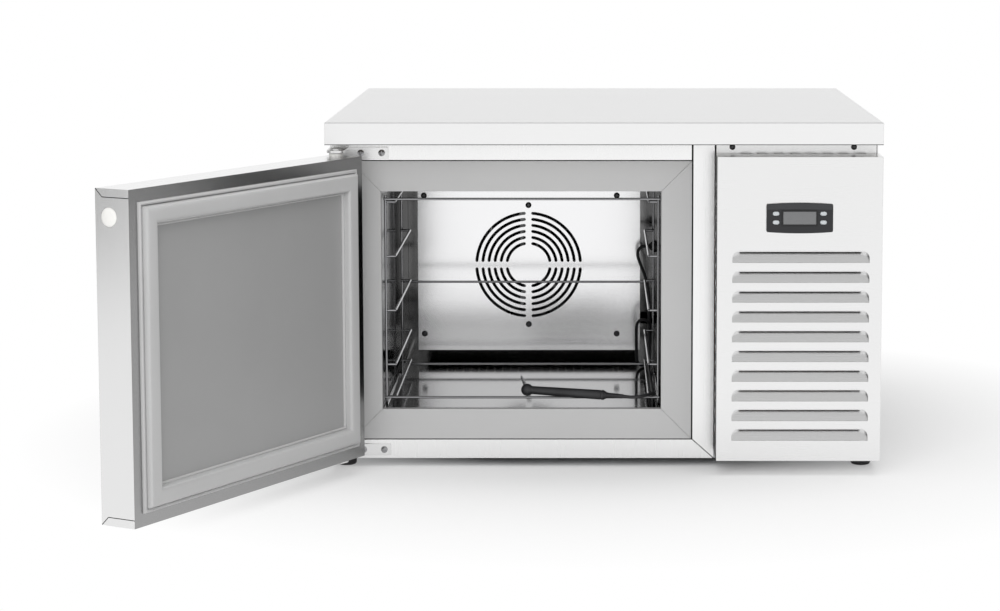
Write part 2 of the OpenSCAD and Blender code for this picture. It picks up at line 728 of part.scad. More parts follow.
// Profile in shares of the gasket's own width and height
function gasket_profile() = concat(
    [[0.16, -1], [0.16, 0], [0, 0], [0, 0.3], [0.03, 0.4], [0.1, 0.42], [0.14, 0.34],
        [0.15, 0.16], [0.17, 0.16]],
    [for (i = [0:bulge_n]) let(a = 180 - 180 * i / bulge_n, c = cos(a))
        [0.53 + 0.35 * sign(c) * pow(abs(c), bulge_flat), 0.3 + 0.7 * pow(sin(a), bulge_flat)]],
    [[0.9, 0.16], [0.92, 0.2], [0.96, 0.24], [1, 0.12], [1, 0], [0.84, 0], [0.84, -1]]);

module door_plug() color("white") hung() at_plug() union() {
    translate([0, 0, -plug_l]) cylinder(d = plug_dia - 4, h = plug_l);
    intersection() {
        cylinder(d = plug_dia, h = 1.6);
        translate([0, 0, 1.6 - plug_dia * 1.5]) sphere(r = plug_dia * 1.5, $fn = fine);
    }
}

// Bushes turn with the door; their flanges carry it on the lower arm
arm_top_z = door_z1 + 4;
arm_low_z = door_z0 - 6;
module door_bush(flange_h) difference() {
    union() {
        translate([0, 0, -bush_l]) cylinder(d = bush_dia, h = bush_l);
        cylinder(d = flange_dia, h = flange_h);
    }
    translate([0, 0, -bush_l - cut]) cylinder(r = bore_r, h = bush_l + flange_h + 2 * cut);
}

module upper_door_bush() color("whitesmoke") hung() translate([pivot_x, pivot_y, door_z1])
    door_bush(arm_top_z - door_z1 - thrust_gap);

module lower_door_bush() color("whitesmoke") hung() translate([pivot_x, pivot_y, door_z0])
    mirror([0, 0, 1]) door_bush(door_z0 - arm_low_z - thrust_gap);

// Bracket: a screwed plate with an arm that carries the pin; its arm lies on z = 0
plate_x0 = x_left + 5;
hinge_screw_x = [plate_x0 + 32, plate_x0 + 57];
plate_t = 2.5;
module hinge_bracket(plate_h) difference() {
    union() {
        block([plate_x0, y_skin - plate_t, bracket_t - plate_h], [plate_x0 + bracket_w, y_skin, bracket_t]);
        block([pivot_x - arm_w / 2, pivot_y, 0], [pivot_x + arm_w / 2, y_skin, bracket_t]);
        translate([pivot_x, pivot_y, 0]) cylinder(d = arm_w, h = bracket_t);
    }
    translate([pivot_x, pivot_y, -cut]) cylinder(d = pin_dia, h = bracket_t + 2 * cut);
}

module upper_hinge_bracket() color("silver") translate([0, 0, arm_top_z]) hinge_bracket(bracket_h);

module lower_hinge_bracket() color("silver") translate([0, 0, arm_low_z]) mirror([0, 0, 1])
    hinge_bracket(bracket_h);

// Shoulder pin with a low round head outside the arm
module hinge_pin(reach) union() {
    translate([0, 0, -reach]) cylinder(d = pin_dia, h = reach + bracket_t);
    translate([0, 0, bracket_t]) cylinder(d = pin_dia * 1.5, h = 1.5);
}

module upper_hinge_pin() color("silver") translate([pivot_x, pivot_y, arm_top_z])
    hinge_pin(arm_top_z - door_z1 + pin_reach);

module lower_hinge_pin() color("silver") translate([pivot_x, pivot_y, arm_low_z])
    mirror([0, 0, 1]) hinge_pin(door_z0 - arm_low_z + pin_reach);

module hinge_screws() color("silver") for (x = hinge_screw_x, z = [arm_top_z + bracket_t
    - bracket_h / 2, arm_low_z - bracket_t + bracket_h / 2])
    front_screw(x, y_skin - plate_t, z, 8, 2.6);

// Fan baffle: rings of slots with four spokes, and a sheet folded back on three sides
slot_end = 0.9;                        // width of a slot's round end, as a share of the slot's
module ring_slot2d(r) {
    open = 90 - 2 * asin((spoke_w + slot_w) / 2 / r);
    intersection() {
        difference() {
            circle(r + slot_w / 2, $fn = fine);
            circle(r - slot_w / 2, $fn = fine);
        }
        polygon([[0, 0], 2 * r * [cos(45 - open / 2), sin(45 - open / 2)],
            2.2 * r * [1, 1], 2 * r * [cos(45 + open / 2), sin(45 + open / 2)]]);
    }
    for (a = [45 - open / 2, 45 + open / 2]) rotate(a) translate([r, 0]) circle(d = slot_w * slot_end);
}

module fan_baffle() color("gainsboro") {
    difference() {
        block([baf_x0, baf_y, baf_z0], [baf_x1, baf_y + baf_fold, baf_z1]);
        block([baf_x0 + baf_t, baf_y + baf_t, baf_z0 - cut],
            [baf_x1 - baf_t, baf_y + baf_fold + cut, baf_z1 - baf_t]);
        translate([fan_x, 0, fan_z]) along_y(baf_y - cut, baf_y + baf_t + cut)
            for (i = [0:ring_n - 1], q = [0:3]) rotate(90 * q) ring_slot2d(ring_dia / 2 + i * ring_pitch);
    }
}

baffle_screw_z = [fan_z - 94, fan_z + 94];
module baffle_screws() color("dimgrey") {
    for (x = [frame_l + 3.6, frame_r - 3.4], z = baffle_screw_z) front_screw(x, baf_y, z, 8, 2.6);
    for (s = [-1, 1]) front_screw(fan_x, baf_y, fan_z + s * 81, 8, 2.6);
}

// An axial fan with its shaft, drawn along +Z from its front
blade_in = 0.8;                        // how far the blades stand in from the hub's ends
module axial_fan(dia, hub, depth, blades, shaft_l) {
    difference() {
        cylinder(d = hub, h = depth, $fn = fine);
        translate([0, 0, 3]) cylinder(d = hub - 6, h = depth, $fn = fine);
    }
    cylinder(d = 12, h = depth);
    cylinder(d = shaft_dia, h = depth + shaft_l);
    for (i = [0:blades - 1]) rotate(360 / blades * i) translate([0, 0, blade_in])
        linear_extrude(depth - 2 * blade_in, twist = -34, slices = 4) fan_blade2d(dia / 2, hub / 2);
}

// Cross-section of a blade: an arc from the hub to the tip
module fan_blade2d(tip, root) {
    n = 4;
    sweep_a = 22;
    function p(i, o) = let(t = i / n, r = root - 1.5 + (tip - root + 1.5) * t, a = sweep_a * t * t)
        [r * cos(a) - o * sin(a), r * sin(a) + o * cos(a)];
    polygon([each [for (i = [0:n]) p(i, -0.8)], each [for (i = [n:-1:0]) p(i, 0.8)]]);
}

fan_depth = 20;
module evaporator_fan() color("slategrey")
    translate([fan_x, strap_y - 3 - fan_depth, fan_z]) rotate([-90, 0, 0])
    axial_fan(fan_dia, fan_hub, fan_depth, fan_blades, 18);

module motor(dia, l) difference() {
    union() {
        cylinder(d = dia, h = l, $fn = fine);
        for (i = [0:7]) rotate(45 * i) translate([dia / 2 - 2, -1.5, l * 0.3]) cube([4, 3, l * 0.7]);
    }
    translate([0, 0, -cut]) cylinder(r = shaft_dia / 2 + shaft_fit, h = 18 + cut);
}

module evaporator_motor() color("darkslategrey") translate([fan_x, strap_y + strap_t, fan_z])
    rotate([-90, 0, 0]) motor(motor_dia, motor_l);

module motor_bracket() color("silver") difference() {
    union() {
        block([fan_x - strap_w / 2, strap_y, fan_z - strap_half],
            [fan_x + strap_w / 2, strap_y + strap_t, fan_z + strap_half]);
        for (s = [-1, 1]) {
            z = fan_z + s * strap_half - (s > 0 ? strap_t : 0);
            block([fan_x - strap_w / 2, baf_y + baf_t, z],
                [fan_x + strap_w / 2, strap_y + strap_t, z + strap_t]);
            block([fan_x - strap_w / 2, baf_y + baf_t, s > 0 ? z + strap_t - 12 : z],
                [fan_x + strap_w / 2, baf_y + baf_t + strap_t, s > 0 ? z + strap_t : z + 12]);
        }
    }
    translate([fan_x, strap_y - cut, fan_z]) rotate([-90, 0, 0])
        cylinder(d = 16, h = strap_t + 2 * cut);
}

// Rows of coil tubes
function coil_y(k) = cav_y1 - 27 + k * row_gap;
function coil_z(i) = coil_z0 + 14 + i * coil_pitch;

module coil_holes(rows, pitch, z0, ys, d) for (i = [0:rows - 1], y = ys)
    translate([y, z0 + i * pitch]) circle(d = d);

module evaporator_fins() color("gainsboro") {
    fin_n = floor((frame_r - coil_l - 4) / fin_pitch);
    rows_y = [coil_y(0), coil_y(1)];
    hole = coil_tube + 0.4;
    for (i = [0:fin_n]) along_x(coil_l + i * fin_pitch, coil_l + i * fin_pitch + fin_t) difference() {
        translate([cav_y1 - coil_d - 2, coil_z0]) square([coil_d, coil_rows * coil_pitch]);
        coil_holes(coil_rows, coil_pitch, coil_z(0), rows_y, hole);
    }
    for (x = [frame_l, frame_r]) {
        along_x(x, x + 1.5) difference() {
            translate([baf_y + baf_t, coil_z0]) square([plenum_d - baf_t, baf_z1 - coil_z0 - 4]);
            if (x == frame_r) coil_holes(coil_rows, coil_pitch, coil_z(0), rows_y, hole);
        }
        block([x - 3, baf_y + baf_t, coil_z0], [x + 9, baf_y + baf_t + 1.5, baf_z1 - 4]);
    }
}

// Serpentine of straight tubes and return bends; its first and last tubes run on past x1
module serpentine(rows, pitch, x0, x1, y, z0, d, first, last) {
    for (i = [0:rows - 1]) rod([x0, y, z0 + i * pitch],
        [x1 + (i == 0 ? first : i == rows - 1 ? last : 0), y, z0 + i * pitch], d);
    for (i = [0:rows - 2]) translate([i % 2 == 0 ? x0 : x1, y, z0 + (i + 0.5) * pitch])
        rotate([90, 0, 0]) rotate(i % 2 == 0 ? 90 : -90) half_ring(pitch, d);
}

module half_ring(width, d) rotate_extrude(angle = 180, $fn = fine)
    translate([width / 2, 0]) circle(d = d);

coil_stub = 12;
coil_over = 3;                         // how far the tubes stand out of an end plate
coil_end = frame_r + coil_over + coil_stub;
module evaporator_tubes() color("peru") {
    for (k = [0, 1]) serpentine(coil_rows, coil_pitch, coil_l - 2, frame_r + coil_over,
        coil_y(k), coil_z(0), coil_tube, coil_stub, 0);
    translate([frame_r + coil_over, (coil_y(0) + coil_y(1)) / 2, coil_z(coil_rows - 1)])
        rotate(-90) half_ring(row_gap, coil_tube);
}

// Welded wire rack: four uprights, U-shaped ledges on both sides and cross wires
wire_corner = 1.06;                    // the wire swells a little where it is bent
module ledge(s, z) {
    xu = s < 0 ? up_x0 : up_x1;
    xi = xu - s * ledge_in;
    bent([[xu + s * 1.8, up_y0 + weld, z], [xi, up_y0 + weld, z], [xi, up_y1 - weld, z],
        [xu + s * 1.8, up_y1 - weld, z]], wire_dia, wire_dia * wire_corner);
}

module wire_rack() color("lightsteelblue") {
    for (x = [up_x0, up_x1], y = [up_y0, up_y1]) rod([x, y, cav_z0], [x, y, rack_top], wire_dia);
    for (s = [-1, 1]) {
        ledge(s, cav_z0 + base_rise);
        for (i = [0:ledge_n - 1]) ledge(s, cav_z0 + ledge_rise + i * ledge_pitch);
    }
    for (z = [cav_z0 + base_rise, rack_top - 4])
        rod([up_x0 - 1.8, up_y0 - weld, z], [up_x1 + 1.8, up_y0 - weld, z], wire_dia);
    for (z = [cav_z0 + 10.6, cav_z0 + 120.4])
        rod([up_x0 - 1.8, up_y1 + weld, z], [up_x1 + 1.8, up_y1 + weld, z], wire_dia);
}

// Core probe
module at_probe() translate([probe_x, probe_y, handle_z]) rotate([0, probe_tilt, probe_turn])
    children();

needle_in = 6;                         // from the handle's end to the needle's axis
module at_needle() at_probe() translate([needle_in, 0, 0]) rotate([-88, 0, 19.4]) children();

// The handle swells to a head round the needle's root
head_dia = handle_dia + 3;
module probe_handle() color("dimgrey") difference() {
    at_probe() rotate([0, 90, 0]) rotate_extrude() {
        translate([0, needle_in]) square([handle_dia / 2, handle_l - needle_in - 2]);
        translate([0, needle_in]) intersection() {
            circle(d = head_dia);
            translate([0, -head_dia]) square(2 * head_dia);
        }
        translate([0, needle_in]) square([handle_dia / 2 - 1, handle_l - needle_in]);
    }
    at_needle() cylinder(d = needle_dia, h = head_dia);
}

module probe_needle() color("silver") at_needle() {
    cylinder(d = needle_dia, h = needle_l * 0.45);
    translate([0, 0, needle_l * 0.45])
        cylinder(d1 = needle_dia, d2 = needle_dia * 0.6, h = needle_l * 0.45);
    translate([0, 0, needle_l * 0.9]) cylinder(d1 = needle_dia * 0.6, d2 = 0.4, h = needle_l * 0.1);
    translate([0, 0, head_dia / 2 + 0.3]) cylinder(d = needle_dia + 3, h = 4);
}

module lead_relief() color("dimgrey") at_probe() translate([handle_l, 0, 0]) rotate([0, 90, 0])
    cylinder(d1 = handle_dia * 0.62, d2 = lead_dia + 1.4, h = relief_l);

module lead_gland() color("dimgrey") translate([cav_x1, gland_y, gland_z]) rotate([0, -90, 0]) {
    translate([0, 0, -8]) cylinder(d = 8, h = 8);
    cylinder(d = 16, h = 4);
    translate([0, 0, 4]) cylinder(d1 = 13, d2 = lead_dia + 2, h = gland_l - 4);
}

// Points on the smooth curve through the lead's points
function curve_point(p, i, t) =
    let(n = len(p) - 1, a = p[max(i - 1, 0)], b = p[i], c = p[min(i + 1, n)], d = p[min(i + 2, n)])
    0.5 * (2 * b + (c - a) * t + (2 * a - 5 * b + 4 * c - d) * t * t
        + (3 * b - a - 3 * c + d) * t * t * t);

// The lead starts square to the gland and ends square to the strain relief
relief_end = [probe_x, probe_y, handle_z] + (handle_l + relief_l) * probe_way;
gland_end = [cav_x1 - gland_l, gland_y, gland_z];
lead_path = concat([gland_end], [for (i = [1:len(lead_pts) - 1]) lead_pts[i]],
    [relief_end + 3 * probe_way, relief_end]);
lead_steps = [for (i = [0:len(lead_path) - 2])
    max(1, round(norm(lead_path[i + 1] - lead_path[i]) / 9))];
lead_curve = concat([for (i = [0:len(lead_path) - 2], k = [0:lead_steps[i] - 1])
    curve_point(lead_path, i, k / lead_steps[i])], [relief_end]);
lead_len = len(lead_curve);

function unit(v) = v / norm(v);
function lead_dir(i) = i == 0 ? [-1, 0, 0]
    : i == lead_len - 1 ? -probe_way
    : unit(lead_curve[i + 1] - lead_curve[i - 1]);

// Carries a cross direction along the curve without twist
function carry(i, u) = let(d = lead_dir(i)) unit(u - (u * d) * d);
function cross_dirs(i, u) = i == lead_len ? [] : let(v = carry(i, u)) concat([v], cross_dirs(i + 1, v));

lead_sides = 10;
module probe_lead() color("dimgrey") {
    us = cross_dirs(0, [0, 0, 1]);
    pts = [for (i = [0:lead_len - 1]) let(u = us[i], w = cross(lead_dir(i), u))
        for (k = [0:lead_sides - 1]) lead_curve[i]
            + lead_dia / 2 * (cos(360 * k / lead_sides) * u + sin(360 * k / lead_sides) * w)];
    side = [for (i = [0:lead_len - 2], k = [0:lead_sides - 1])
        let(a = i * lead_sides + k, b = i * lead_sides + (k + 1) % lead_sides)
        each [[a, b + lead_sides, b], [a, a + lead_sides, b + lead_sides]]];
    last = (lead_len - 1) * lead_sides;
    polyhedron(pts, concat(side, [[for (k = [0:lead_sides - 1]) k],
        [for (k = [lead_sides - 1:-1:0]) last + k]]));
}

// Hermetic compressor: two pressed half shells with a weld lip
module compressor() color("darkslategrey") translate([bay_xm, comp_y, comp_z0]) difference() {
    union() {
        translate([0, 0, comp_foot[2]]) rotate_extrude($fn = fine) comp_profile();
        translate([-comp_foot[0] / 2, -comp_foot[1] / 2, 0]) cube(comp_foot);
        translate([-comp_case[0] / 2, -comp_dia / 2 - comp_case[1] * 0.4, comp_h * 0.35])
            cube(comp_case);
        for (s = [-1, 1]) rod([s * comp_port_x, s * comp_port_x, comp_port_z],
            [s * comp_port_x, s * (comp_dia / 2 + comp_port_out), comp_port_z], pipe_dia + 2);
    }
    for (sx = [-1, 1], sy = [-1, 1]) translate([sx * comp_bolt[0], sy * comp_bolt[1], -cut])
        cylinder(d = stud_dia, h = comp_foot[2] + 2 * cut);
}

module comp_profile() {
    r = comp_dia / 2;
    c = comp_shoulder;
    square([r - c, comp_h]);
    translate([0, c]) square([r, comp_h - 2 * c]);
    for (z = [c, comp_h - c]) translate([r - c, z]) intersection() {
        circle(c);
        square(2 * c, center = true);
    }
    translate([0, comp_h * 0.5]) square([r + 2, 4]);
}

// Rubber mounts with a neck through the foot plate and a button above it
stud_dia = 10;
mount_dia = 24;
button_dia = 18;
module compressor_mounts() color("dimgrey") for (sx = [-1, 1], sy = [-1, 1])
    translate([bay_xm + sx * comp_bolt[0], comp_y + sy * comp_bolt[1], bay_floor]) {
        cylinder(d = mount_dia, h = mount_h);
        cylinder(d = stud_dia, h = mount_h + comp_foot[2]);
        translate([0, 0, mount_h + comp_foot[2]]) cylinder(d = button_dia, h = 4);
    }

// Condenser behind the louvres
cond_row_gap = 20;
cond_in = 22;                          // room for the return bends at each side
cond_low = 20;                         // from the condenser's foot to its first tube
cond_stub = 6;
cond_fin_pitch = 8;
function cond_ty(k) = cond_y0 + cond_d / 2 + (k - 0.5) * cond_row_gap;

module condenser_fins() color("silver") {
    hole = coil_tube + 0.4;
    rows_y = [cond_ty(0), cond_ty(1)];
    x0 = cond_x0 + cond_in;
    x1 = cond_x1 - cond_in - 1.5;
    fin_n = floor((x1 - x0 - 4) / cond_fin_pitch);
    for (x = [for (i = [1:fin_n]) x0 + i * cond_fin_pitch]) along_x(x, x + fin_t) difference() {
        translate([cond_y0, cond_z0]) square([cond_d, cond_h]);
        coil_holes(cond_rows, cond_pitch, cond_z0 + cond_low, rows_y, hole);
    }
    for (x = [x0, x1]) along_x(x, x + 1.5) difference() {
        translate([cond_y0, bay_floor]) square([cond_d, cond_h + 2]);
        coil_holes(cond_rows, cond_pitch, cond_z0 + cond_low, rows_y, hole);
    }
}

// Its two free ends are at the top left
module condenser_tubes() color("peru") translate([cond_x0 + cond_x1, 0, 0]) mirror([1, 0, 0]) {
    for (k = [0, 1]) serpentine(cond_rows, cond_pitch, cond_x0 + cond_in, cond_x1 - cond_in,
        cond_ty(k), cond_z0 + cond_low, coil_tube, 0, cond_stub);
    translate([cond_x1 - cond_in, cond_y0 + cond_d / 2, cond_z0 + cond_low])
        rotate(-90) half_ring(cond_row_gap, coil_tube);
}

cmotor_dia = 74;
cmotor_l = 46;
cfan_hub = 50;
cfan_depth = 22;
cfan_blades = 5;
shroud_l = 30;                         // length of the shroud's ring
module condenser_shroud() color("dimgrey") {
    difference() {
        union() {
            block([cond_x0 + 10, shroud_y, bay_floor],
                [cond_x1 - 10, shroud_y + sheet_t, cond_z0 + cond_h]);
            translate([bay_xm, shroud_y, cfan_z]) rotate([-90, 0, 0])
                cylinder(d = cond_fan_dia + 8, h = shroud_l, $fn = fine);
        }
        translate([bay_xm, shroud_y - cut, cfan_z]) rotate([-90, 0, 0])
            cylinder(d = cond_fan_dia + 5, h = shroud_l + 2 * cut, $fn = fine);
    }
    for (a = [45:90:315]) translate([bay_xm, shroud_y + shroud_l - 2, cfan_z]) rotate([0, a, 0])
        block([-5, 0, cmotor_dia / 2 - 1], [5, 2, cond_fan_dia / 2 + 3]);
    translate([bay_xm, shroud_y + shroud_l - 2, cfan_z]) rotate([-90, 0, 0]) difference() {
        cylinder(d = cmotor_dia + 4, h = 2);
        translate([0, 0, -cut]) cylinder(d = 16, h = 2 + 2 * cut);
    }
}

module condenser_fan() color("slategrey")
    translate([bay_xm, shroud_y + shroud_l - 5 - cfan_depth, cfan_z]) rotate([-90, 0, 0])
    axial_fan(cond_fan_dia, cfan_hub, cfan_depth, cfan_blades, 19);

module condenser_motor() color("darkslategrey") translate([bay_xm, shroud_y + shroud_l, cfan_z])
    rotate([-90, 0, 0]) motor(cmotor_dia, cmotor_l);

// Filter drier carried by its pipes
drier_x = x_bay + 2 * pipe_dia;
drier_rise = 60;                       // from the bay's floor to its lower end
drier_z0 = bay_floor + drier_rise;
drier_l = 120;
drier_dia = 22;
drier_neck = 10;
module filter_drier() color("peru") translate([drier_x, mid_y, drier_z0]) {
    cylinder(d = drier_neck, h = drier_l);
    translate([0, 0, drier_neck]) cylinder(d = drier_dia, h = drier_l - 2 * drier_neck);
}

// Pipes with brazed elbows, whose sockets are wider than the pipe
elbow = 1.5;
run_rise = 220;                        // from the bay's floor to the pipe above the drier
run_in = 12;                           // from the divider to the upright pipe
pipe_gap = 16;                         // between the two pipes to the coil
back_run = 22;                         // from the back to the return pipe
ahead_run = 26;                        // from the compressor's port to the pipe that rises ahead
over_rise = 40;                        // how far that pipe rises over the condenser
module pipe(pts) bent(pts, pipe_dia, pipe_dia * elbow);

module copper_lines() color("chocolate") {
    z_low = cond_z0 + cond_low;
    z_high = z_low + (cond_rows - 1) * cond_pitch;
    z_port = comp_z0 + comp_port_z;
    z_run = bay_floor + run_rise;
    x_run = x_bay + run_in;
    x_tube = cond_x0 + cond_in - cond_stub;
    x_drop = x_bay + pipe_dia / 2 + 3;
    x_port = [bay_xm - comp_port_x, bay_xm + comp_port_x];
    y_ahead = comp_y - comp_dia / 2 - comp_port_out;
    y_behind = comp_y + comp_dia / 2 + comp_port_out;
    // from the condenser's front row to the drier
    pipe([[x_tube, cond_ty(0), z_high], [x_drop, cond_ty(0), z_high],
        [x_drop, cond_ty(0), z_low], [drier_x, mid_y, z_low], [drier_x, mid_y, drier_z0]]);
    // from the drier to the cavity's coil
    pipe([[drier_x, mid_y, drier_z0 + drier_l], [drier_x, mid_y, z_run],
        [x_run, coil_y(0), z_run], [x_run, coil_y(0), coil_z(0)],
        [coil_end, coil_y(0), coil_z(0)]]);
    // from the coil back to the compressor
    pipe([[coil_end, coil_y(1), coil_z(0)], [x_run + pipe_gap, coil_y(1), coil_z(0)],
        [x_run + pipe_gap, y_back - back_run, coil_z(0)], [x_port[1], y_back - back_run, z_port],
        [x_port[1], y_behind, z_port]]);
    // from the compressor to the condenser's back row
    pipe([[x_port[0], y_ahead, z_port], [x_port[0], y_ahead - ahead_run, z_port],
        [x_port[0], y_ahead - ahead_run, z_high + over_rise],
        [drier_x, cond_ty(1), z_high + over_rise],
        [drier_x, cond_ty(1), z_high], [x_tube, cond_ty(1), z_high]]);
}

// Sheet box with a recessed lid, on the divider under the worktop
ebox = [52, 110, 90];
ebox_in = 110;                         // from the housing's front
ebox_drop = 20;                        // from the worktop
ebox_rim = 2;
module electrical_box() color("lightgrey")
    translate([x_bay, y_skin + ebox_in, z_deck - ebox_drop - ebox[2]]) difference() {
        cube(ebox);
        translate([ebox[0] - ebox_rim, ebox_rim, ebox_rim])
            cube([ebox_rim + cut, ebox[1] - 2 * ebox_rim, ebox[2] - 2 * ebox_rim]);
    }

// Nylon gland for the mains lead, low on the back
gland_px = x_right - 40;
gland_pz = z_base + 50;
power_neck = 16;
module power_gland() color("dimgrey") translate([gland_px, y_back, gland_pz]) rotate([-90, 0, 0])
    difference() {
        union() {
            translate([0, 0, -10]) cylinder(d = power_neck, h = 12);
            cylinder(d = 24, h = 5, $fn = 6);
            translate([0, 0, 5]) cylinder(d1 = 20, d2 = 15, h = 9);
        }
        translate([0, 0, -10 - cut]) cylinder(d = 9, h = 24 + 2 * cut);
    }

worktop();
worktop_core();
left_side_panel();
right_side_panel();
base_pan();
divider_panel();
back_panel();
insulation();
cavity_liner();
front_frame();
mouth_collar();
feet();
grille_panel();
panel_rail();
panel_screws();
controller_body();
controller_bezel();
display_window();
key(-1, 1);  // key_upper_left
key(-1, -1);  // key_lower_left
key(1, 1);  // key_upper_right
key(1, -1);  // key_lower_right
door_outer_pan();
door_insulation();
door_inner_panel();
door_gasket();
door_plug();
upper_door_bush();
lower_door_bush();
upper_hinge_bracket();
lower_hinge_bracket();
upper_hinge_pin();
lower_hinge_pin();
hinge_screws();
fan_baffle();
baffle_screws();
evaporator_fan();
evaporator_motor();
motor_bracket();
evaporator_fins();
evaporator_tubes();
wire_rack();
probe_handle();
probe_needle();
lead_relief();
probe_lead();
lead_gland();
compressor();
compressor_mounts();
condenser_fins();
condenser_tubes();
condenser_shroud();
condenser_fan();
condenser_motor();
filter_drier();
copper_lines();
electrical_box();
power_gland();
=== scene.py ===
"""Countertop blast chiller with its door open: finishes, cord and studio, in metres."""
import math

import bmesh
import bpy
from mathutils import Matrix, Vector


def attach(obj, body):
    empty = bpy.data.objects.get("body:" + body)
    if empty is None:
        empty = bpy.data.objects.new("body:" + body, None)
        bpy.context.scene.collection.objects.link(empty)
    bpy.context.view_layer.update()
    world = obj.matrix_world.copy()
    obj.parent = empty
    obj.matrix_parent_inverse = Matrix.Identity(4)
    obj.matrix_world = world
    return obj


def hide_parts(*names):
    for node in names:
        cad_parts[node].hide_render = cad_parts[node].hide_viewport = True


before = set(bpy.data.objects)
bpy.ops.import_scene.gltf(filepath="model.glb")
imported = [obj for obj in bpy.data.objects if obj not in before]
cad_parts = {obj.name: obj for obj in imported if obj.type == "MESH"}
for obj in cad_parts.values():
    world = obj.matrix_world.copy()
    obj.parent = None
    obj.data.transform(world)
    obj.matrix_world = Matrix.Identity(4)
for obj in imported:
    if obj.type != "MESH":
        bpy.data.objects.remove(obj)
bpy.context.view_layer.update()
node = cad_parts

# ---- Studio ----
# A long lens a little above the worktop, tilted down, as the product was photographed. Floor
# and world are white, with soft lamps in front and above, and grey cards above and beside the
# product give its bright metal something darker to reflect.
lens = bpy.data.cameras.new("camera")
lens.lens = 93.97
lens.sensor_width = 36.0
lens.shift_x = -0.0935
lens.shift_y = -0.1
lens.clip_start = 0.1
lens.clip_end = 50.0
camera = bpy.data.objects.new("camera", lens)
camera.location = (-0.01242, -3.35938, 0.66754)
camera.rotation_euler = (math.radians(90 - 6.397), 0.0, 0.0)
bpy.context.scene.collection.objects.link(camera)
bpy.context.scene.camera = camera
bpy.context.scene.view_settings.view_transform = "Standard"


def tint(code):
    """Linear colour from an sRGB hex value."""
    parts = [int(code[i:i + 2], 16) / 255 for i in (0, 2, 4)]
    return [*(c / 12.92 if c <= 0.04045 else ((c + 0.055) / 1.055) ** 2.4 for c in parts), 1.0]


def add(tree, kind, settings, inputs):
    """Adds a node; an input that is a socket is linked, and any other is set."""
    made = tree.nodes.new("ShaderNode" + kind)
    for name, value in settings.items():
        setattr(made, name, value)
    for name, value in inputs.items():
        if isinstance(value, bpy.types.NodeSocket):
            tree.links.new(value, made.inputs[name])
        else:
            made.inputs[name].default_value = value
    return made


def blank(name):
    """An empty material with its node tree."""
    made = bpy.data.materials.new(name)
    made.use_nodes = True
    made.node_tree.nodes.clear()
    return made, made.node_tree


def seen(tree):
    """1 for the eye and for what metal and glass reflect or let through, and 0 for other light."""
    ray = add(tree, "LightPath", {}, {})
    both = add(tree, "Math", {"operation": "MAXIMUM"},
               {0: ray.outputs["Is Camera Ray"], 1: ray.outputs["Is Glossy Ray"]})
    return add(tree, "Math", {"operation": "MAXIMUM"},
               {0: both.outputs[0], 1: ray.outputs["Is Transmission Ray"]}).outputs[0]


# White background, and a soft grey light for the rest
world = bpy.data.worlds.new("studio")
world.use_nodes = True
world.node_tree.nodes.clear()
bpy.context.scene.world = world
sky = world.node_tree
soft = add(sky, "Background", {}, {"Color": tint("FFFFFF"), "Strength": 0.42})
white = add(sky, "Background", {}, {"Color": tint("FFFFFF"), "Strength": 1.0})
either = add(sky, "MixShader", {}, {0: seen(sky), 1: soft.outputs[0], 2: white.outputs[0]})
add(sky, "OutputWorld", {}, {"Surface": either.outputs[0]})


def slab(name, width, depth, place, turn, material):
    """A flat sheet of the studio."""
    sheet = bmesh.new()
    bmesh.ops.create_grid(sheet, x_segments=1, y_segments=1, size=0.5)
    bmesh.ops.scale(sheet, vec=(width, depth, 1.0), verts=sheet.verts)
    data = bpy.data.meshes.new(name)
    sheet.to_mesh(data)
    sheet.free()
    data.materials.append(material)
    made = bpy.data.objects.new(name, data)
    made.location = place
    made.rotation_euler = turn
    bpy.context.scene.collection.objects.link(made)
    return made


# Pale floor, which for the eye turns into the plain white behind, 0.25 to 0.75 m from the middle
painted, tree = blank("matte white paper")
paper = add(tree, "BsdfDiffuse", {}, {"Color": tint("F4F4F4")})
where = add(tree, "TexCoord", {}, {})
far = add(tree, "VectorMath", {"operation": "LENGTH"}, {0: where.outputs["Object"]})
rise = add(tree, "MapRange", {}, {"Value": far.outputs["Value"], "From Min": 0.25,
                                 "From Max": 0.75, "To Min": 0.0, "To Max": 1.0})
blaze = add(tree, "Emission", {}, {"Color": tint("FFFFFF"), "Strength": 1.0})
fade = add(tree, "MixShader", {}, {0: rise.outputs[0], 1: paper.outputs[0], 2: blaze.outputs[0]})
either = add(tree, "MixShader", {}, {0: seen(tree), 1: paper.outputs[0], 2: fade.outputs[0]})
add(tree, "OutputMaterial", {}, {"Surface": either.outputs[0]})
slab("floor", 24.0, 24.0, (0, 0, 0), (0, 0, 0), painted)


def card(name, width, depth, place, turn, level):
    """A grey card that only reflections show."""
    cloth, tree = blank(name + " cloth")
    give = add(tree, "Emission", {}, {"Color": tint("FFFFFF"), "Strength": level})
    add(tree, "OutputMaterial", {}, {"Surface": give.outputs[0]})
    made = slab(name, width, depth, place, turn, cloth)
    made.visible_camera = made.visible_diffuse = made.visible_shadow = False
    made.visible_transmission = False


card("ceiling_card", 6.0, 5.0, (0, -2.3, 2.7), (0, 0, 0), 0.57)
card("left_card", 2.4, 3.6, (-2.7, 0.2, 1.2), (0, math.pi / 2, 0), 0.3)
card("right_card", 2.4, 3.6, (2.7, 0.2, 1.2), (0, math.pi / 2, 0), 0.3)


